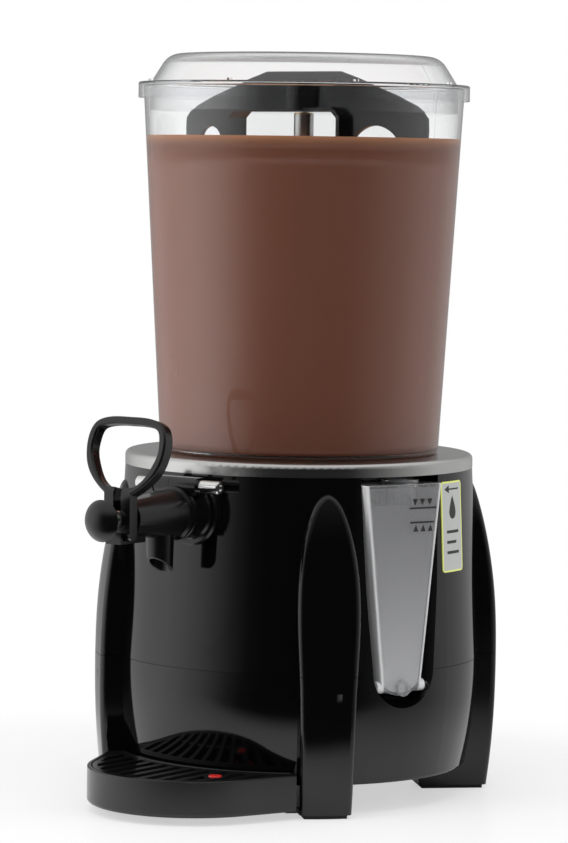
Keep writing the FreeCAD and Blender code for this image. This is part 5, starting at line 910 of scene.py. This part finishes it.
def tick_tree():
    tree = bpy.data.node_groups.new("dial_ticks", "GeometryNodeTree")
    tree.is_modifier = True
    face = tree.interface
    face.new_socket("Geometry", in_out="INPUT", socket_type="NodeSocketGeometry")
    for label in ("Radius", "Sweep", "Tick length", "Tick width", "Tick height"):
        face.new_socket(label, in_out="INPUT", socket_type="NodeSocketFloat")
    face.new_socket("Count", in_out="INPUT", socket_type="NodeSocketInt")
    face.new_socket("Ink", in_out="INPUT", socket_type="NodeSocketMaterial")
    face.new_socket("Geometry", in_out="OUTPUT", socket_type="NodeSocketGeometry")
    given = tree.nodes.new("NodeGroupInput").outputs
    arc = tree.nodes.new("GeometryNodeCurveArc")
    plug(tree, given["Count"], arc.inputs["Resolution"])
    plug(tree, given["Radius"], arc.inputs["Radius"])
    start = reckoned(tree, "MULTIPLY_ADD", given["Sweep"], -0.5, math.pi / 2)
    plug(tree, start, arc.inputs["Start Angle"])
    plug(tree, given["Sweep"], arc.inputs["Sweep Angle"])
    points = tree.nodes.new("GeometryNodeCurveToPoints")
    plug(tree, arc.outputs["Curve"], points.inputs["Curve"])
    plug(tree, given["Count"], points.inputs["Count"])
    size = tree.nodes.new("ShaderNodeCombineXYZ")
    for label, socket in zip(("Tick length", "Tick width", "Tick height"), size.inputs):
        plug(tree, given[label], socket)
    bar = tree.nodes.new("GeometryNodeMeshCube")
    plug(tree, size.outputs["Vector"], bar.inputs["Size"])
    turn = tree.nodes.new("FunctionNodeAlignEulerToVector")
    turn.axis = "X"
    spot = tree.nodes.new("GeometryNodeInputPosition")
    plug(tree, spot.outputs["Position"], turn.inputs["Vector"])
    place = tree.nodes.new("GeometryNodeInstanceOnPoints")
    plug(tree, points.outputs["Points"], place.inputs["Points"])
    plug(tree, bar.outputs["Mesh"], place.inputs["Instance"])
    plug(tree, turn.outputs["Rotation"], place.inputs["Rotation"])
    real = tree.nodes.new("GeometryNodeRealizeInstances")
    plug(tree, place.outputs["Instances"], real.inputs["Geometry"])
    dress = tree.nodes.new("GeometryNodeSetMaterial")
    plug(tree, real.outputs["Geometry"], dress.inputs["Geometry"])
    plug(tree, given["Ink"], dress.inputs["Material"])
    result = tree.nodes.new("NodeGroupOutput")
    plug(tree, dress.outputs["Geometry"], result.inputs["Geometry"])
    return tree


def made_by_nodes(name, tree, values):
    """A plain mesh object from a tree, with its inputs set by the sockets' names."""
    holder = in_scene(name + "_maker", bpy.data.meshes.new(name + "_maker"))
    modifier = holder.modifiers.new("maker", "NODES")
    modifier.node_group = tree
    for item in tree.interface.items_tree:
        if item.in_out == "INPUT" and item.name in values:
            modifier[item.identifier] = values[item.name]
    made = holder.evaluated_get(bpy.context.evaluated_depsgraph_get())
    mesh = bpy.data.meshes.new_from_object(made)
    mesh.name = name
    bpy.data.objects.remove(holder)
    return in_scene(name, mesh)


dial_scale = made_by_nodes(
    "dial_scale",
    tick_tree(),
    {
        "Radius": 14.6 * MM, "Sweep": math.radians(270), "Tick length": 2.2 * MM, "Tick width": 0.7 * MM,
        "Tick height": INK, "Count": 11, "Ink": white_print,
    },
)
upright = Matrix.Rotation(math.radians(-90), 4, "X") @ Matrix.Rotation(math.radians(180), 4, "Z")
dial_scale.data.transform(Matrix.Translation(dial_middle + Vector((0, INK / 2, 0))) @ upright)
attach(dial_scale, "base")
print("dial scale", len(dial_scale.data.polygons), "faces")

# %% [markdown]
# ## The room
# Black gloss shows nothing but the room, so the room is drawn by its light level at each angle round the
# machine, counted from the camera: dark behind the camera, a broad bright wall at the left and another at
# the right, dimmer towards the back. A picture of a studio wrapped round the scene would do the same, but
# a colour ramp over the angle has no pixels and can be tuned by its stops. Light that comes off a matte
# surface, such as the drink, finds the same room with the lamps' fill on top of it. The ramp sits in a node
# group, because the world and the floor both need it.

# %% room levels
view_direction = (camera_aim - camera_place).normalized()
towards_camera = Vector((-view_direction.x, -view_direction.y, 0)).normalized()
towards_right = Vector((-towards_camera.y, towards_camera.x, 0))
ROOM_LEVELS = (
    (-180, 0.3), (-155, 0.45), (-135, 0.8), (-118, 0.95), (-104, 1.1), (-90, 1.25), (-76, 1.15),
    (-62, 0.85), (-50, 0.5), (-40, 0.2), (-30, 0.05), (-20, 0.02), (35, 0.02), (55, 0.15), (80, 0.4),
    (101, 0.62), (140, 0.6), (165, 0.4), (180, 0.3),
)
SHADING_GAIN = 1.9
SHADING_BASE = 0.5


def room_group():
    """Takes a direction and gives the room's light level there, to mirrors or to matte surfaces."""
    group = bpy.data.node_groups.new("room_level", "ShaderNodeTree")
    group.interface.new_socket("Direction", in_out="INPUT", socket_type="NodeSocketVector")
    group.interface.new_socket("Level", in_out="OUTPUT", socket_type="NodeSocketColor")
    direction = group.nodes.new("NodeGroupInput").outputs["Direction"]
    right = measured(group, "DOT_PRODUCT", direction, towards_right)
    front = measured(group, "DOT_PRODUCT", direction, towards_camera)
    share = mapped(group, reckoned(group, "ARCTAN2", right, front), -math.pi, math.pi)
    walls = group.nodes.new("ShaderNodeValToRGB")
    plug(group, share, walls.inputs["Fac"])
    stops = walls.color_ramp.elements
    stops.remove(stops[1])
    for k, (turn, level) in enumerate(ROOM_LEVELS):
        position = (turn + 180) / 360
        stop = stops[0] if k == 0 else stops.new(position)
        stop.position = position
        stop.color = (level, level, level, 1)
    mirrored = walls.outputs["Color"]
    matte = reckoned(group, "MULTIPLY_ADD", mirrored, SHADING_GAIN, SHADING_BASE)
    rays = group.nodes.new("ShaderNodeLightPath")
    result = group.nodes.new("NodeGroupOutput")
    level = mixed_colour(group, rays.outputs["Diffuse Depth"], mirrored, matte)
    plug(group, level, result.inputs["Level"])
    return group


room_level = room_group()
print("room of", len(ROOM_LEVELS), "levels")

# %% [markdown]
# The world and the floor read the room in the same way, and both are plain white where the camera sees
# them, straight or through clear plastic. A ray that has already bounced off something finds the room.

# %% reading the room
def room_towards(tree, direction):
    """The room's level in a direction."""
    room = tree.nodes.new("ShaderNodeGroup")
    room.node_tree = room_level
    plug(tree, direction, room.inputs["Direction"])
    return room.outputs["Level"]


def seen_directly(tree):
    """One for what the camera sees, straight or through clear plastic, and nought for all other light."""
    rays = tree.nodes.new("ShaderNodeLightPath").outputs
    bounces = reckoned(tree, "ADD", rays["Diffuse Depth"], rays["Glossy Depth"])
    unbounced = reckoned(tree, "LESS_THAN", bounces, 0.5)
    through = reckoned(tree, "MULTIPLY", rays["Is Transmission Ray"], unbounced)
    return reckoned(tree, "MAXIMUM", rays["Is Camera Ray"], through)


def mixed_shader(tree, factor, first, second, output):
    """Send a mix of two shaders to an output node's surface."""
    blend = tree.nodes.new("ShaderNodeMixShader")
    for value, socket in zip((factor, first, second), blend.inputs):
        plug(tree, value, socket)
    plug(tree, blend.outputs["Shader"], tree.nodes[output].inputs["Surface"])


print("room readers ready")

# %% [markdown]
# ## The floor
# The object stands on white card, which takes a faint contact shadow. Further out the card turns into an
# even white for the camera, so that no horizon shows, and into the room's own levels for mirrors: with the
# camera looking slightly down, the upright black surfaces mirror mostly the far floor. Just outside the
# picture's lower edge the card ends, which keeps the fronts of the legs black.

# %% floor
CARD_NEAR = 0.16
CARD_FAR = 0.55
CARD_END = 0.24
CARD_DARK = 0.36
CARD_WHITE = 0.9
CARD_BLACK = 0.02
CARD_ROUGHNESS = 0.3
NEAR_GLOW = 0.55
FLOOR_REACH = 9.0


def floor_finish():
    material = new_finish("white_card")
    tree = material.node_tree
    seen = seen_directly(tree)
    place = object_place(tree)
    forward = measured(tree, "DOT_PRODUCT", place, towards_camera)
    mirrored_card = mapped(tree, forward, CARD_END, CARD_DARK, CARD_WHITE, CARD_BLACK, smooth=True)
    whiteness = mapped(tree, seen, 0, 1, mirrored_card, CARD_WHITE)
    set_shader(material, Roughness=CARD_ROUGHNESS, Base_Color=whiteness)
    glow = tree.nodes.new("ShaderNodeEmission")
    plug(tree, mixed_colour(tree, seen, room_towards(tree, place), (1, 1, 1)), glow.inputs["Color"])
    far = mapped(tree, measured(tree, "LENGTH", place), CARD_NEAR, CARD_FAR, smooth=True)
    share = reckoned(tree, "MAXIMUM", far, reckoned(tree, "MULTIPLY", seen, NEAR_GLOW))
    card = tree.nodes["Principled BSDF"].outputs["BSDF"]
    mixed_shader(tree, share, card, glow.outputs["Emission"], "Material Output")
    return material


floor_corners = [(x * FLOOR_REACH, y * FLOOR_REACH, 0) for x, y in ((-1, -1), (1, -1), (1, 1), (-1, 1))]
floor = new_piece("floor", floor_corners, [[0, 1, 2, 3]])
floor.data.materials.append(floor_finish())
print("floor", FLOOR_REACH * 2, "m wide")

# %% [markdown]
# ## Studio light
# The world is the same room with a bright ceiling, and plain white for the camera. Three lamps add the
# shading; mirrors don't show them, because their hard edges would stand on the bowl as strips.

# %% studio light
CEILING_LEVEL = 0.85
CEILING_START = 0.3
CEILING_FULL = 0.9


def studio_world():
    world = bpy.data.worlds.new("studio")
    world.use_nodes = True
    tree = world.node_tree
    direction = tree.nodes.new("ShaderNodeTexCoord").outputs["Generated"]
    overhead = mapped(tree, height_of(tree, direction), CEILING_START, CEILING_FULL, smooth=True)
    ceiling = (CEILING_LEVEL, CEILING_LEVEL, CEILING_LEVEL)
    room = tree.nodes["Background"]
    plug(tree, mixed_colour(tree, overhead, room_towards(tree, direction), ceiling), room.inputs["Color"])
    white = tree.nodes.new("ShaderNodeBackground")
    plug(tree, (1, 1, 1, 1), white.inputs["Color"])
    backgrounds = room.outputs["Background"], white.outputs["Background"]
    mixed_shader(tree, seen_directly(tree), *backgrounds, "World Output")
    return world


def softbox(name, place, width, height, power, aim=(0, 0, 0.3)):
    lamp = bpy.data.lights.new(name, "AREA")
    lamp.shape = "RECTANGLE"
    lamp.size = width
    lamp.size_y = height
    lamp.energy = power
    holder = in_scene(name, lamp)
    turn = (Vector(aim) - Vector(place)).to_track_quat("-Z", "Y").to_matrix().to_4x4()
    holder.matrix_world = Matrix.Translation(place) @ turn
    holder.visible_camera = False
    holder.visible_glossy = False
    holder.visible_transmission = False


bpy.context.scene.world = studio_world()
softbox("key_softbox", place=(-0.75, -1.9, 0.75), width=0.55, height=1.3, power=12.0)
softbox("top_softbox", place=(0.3, -0.5, 2.2), width=1.6, height=1.2, power=20.0)
softbox("side_softbox", place=(2.2, 0.2, 0.8), width=0.5, height=1.6, power=10.0)
bpy.context.scene.view_settings.view_transform = "Standard"
print("lights", ", ".join(lamp.name for lamp in bpy.data.lights))
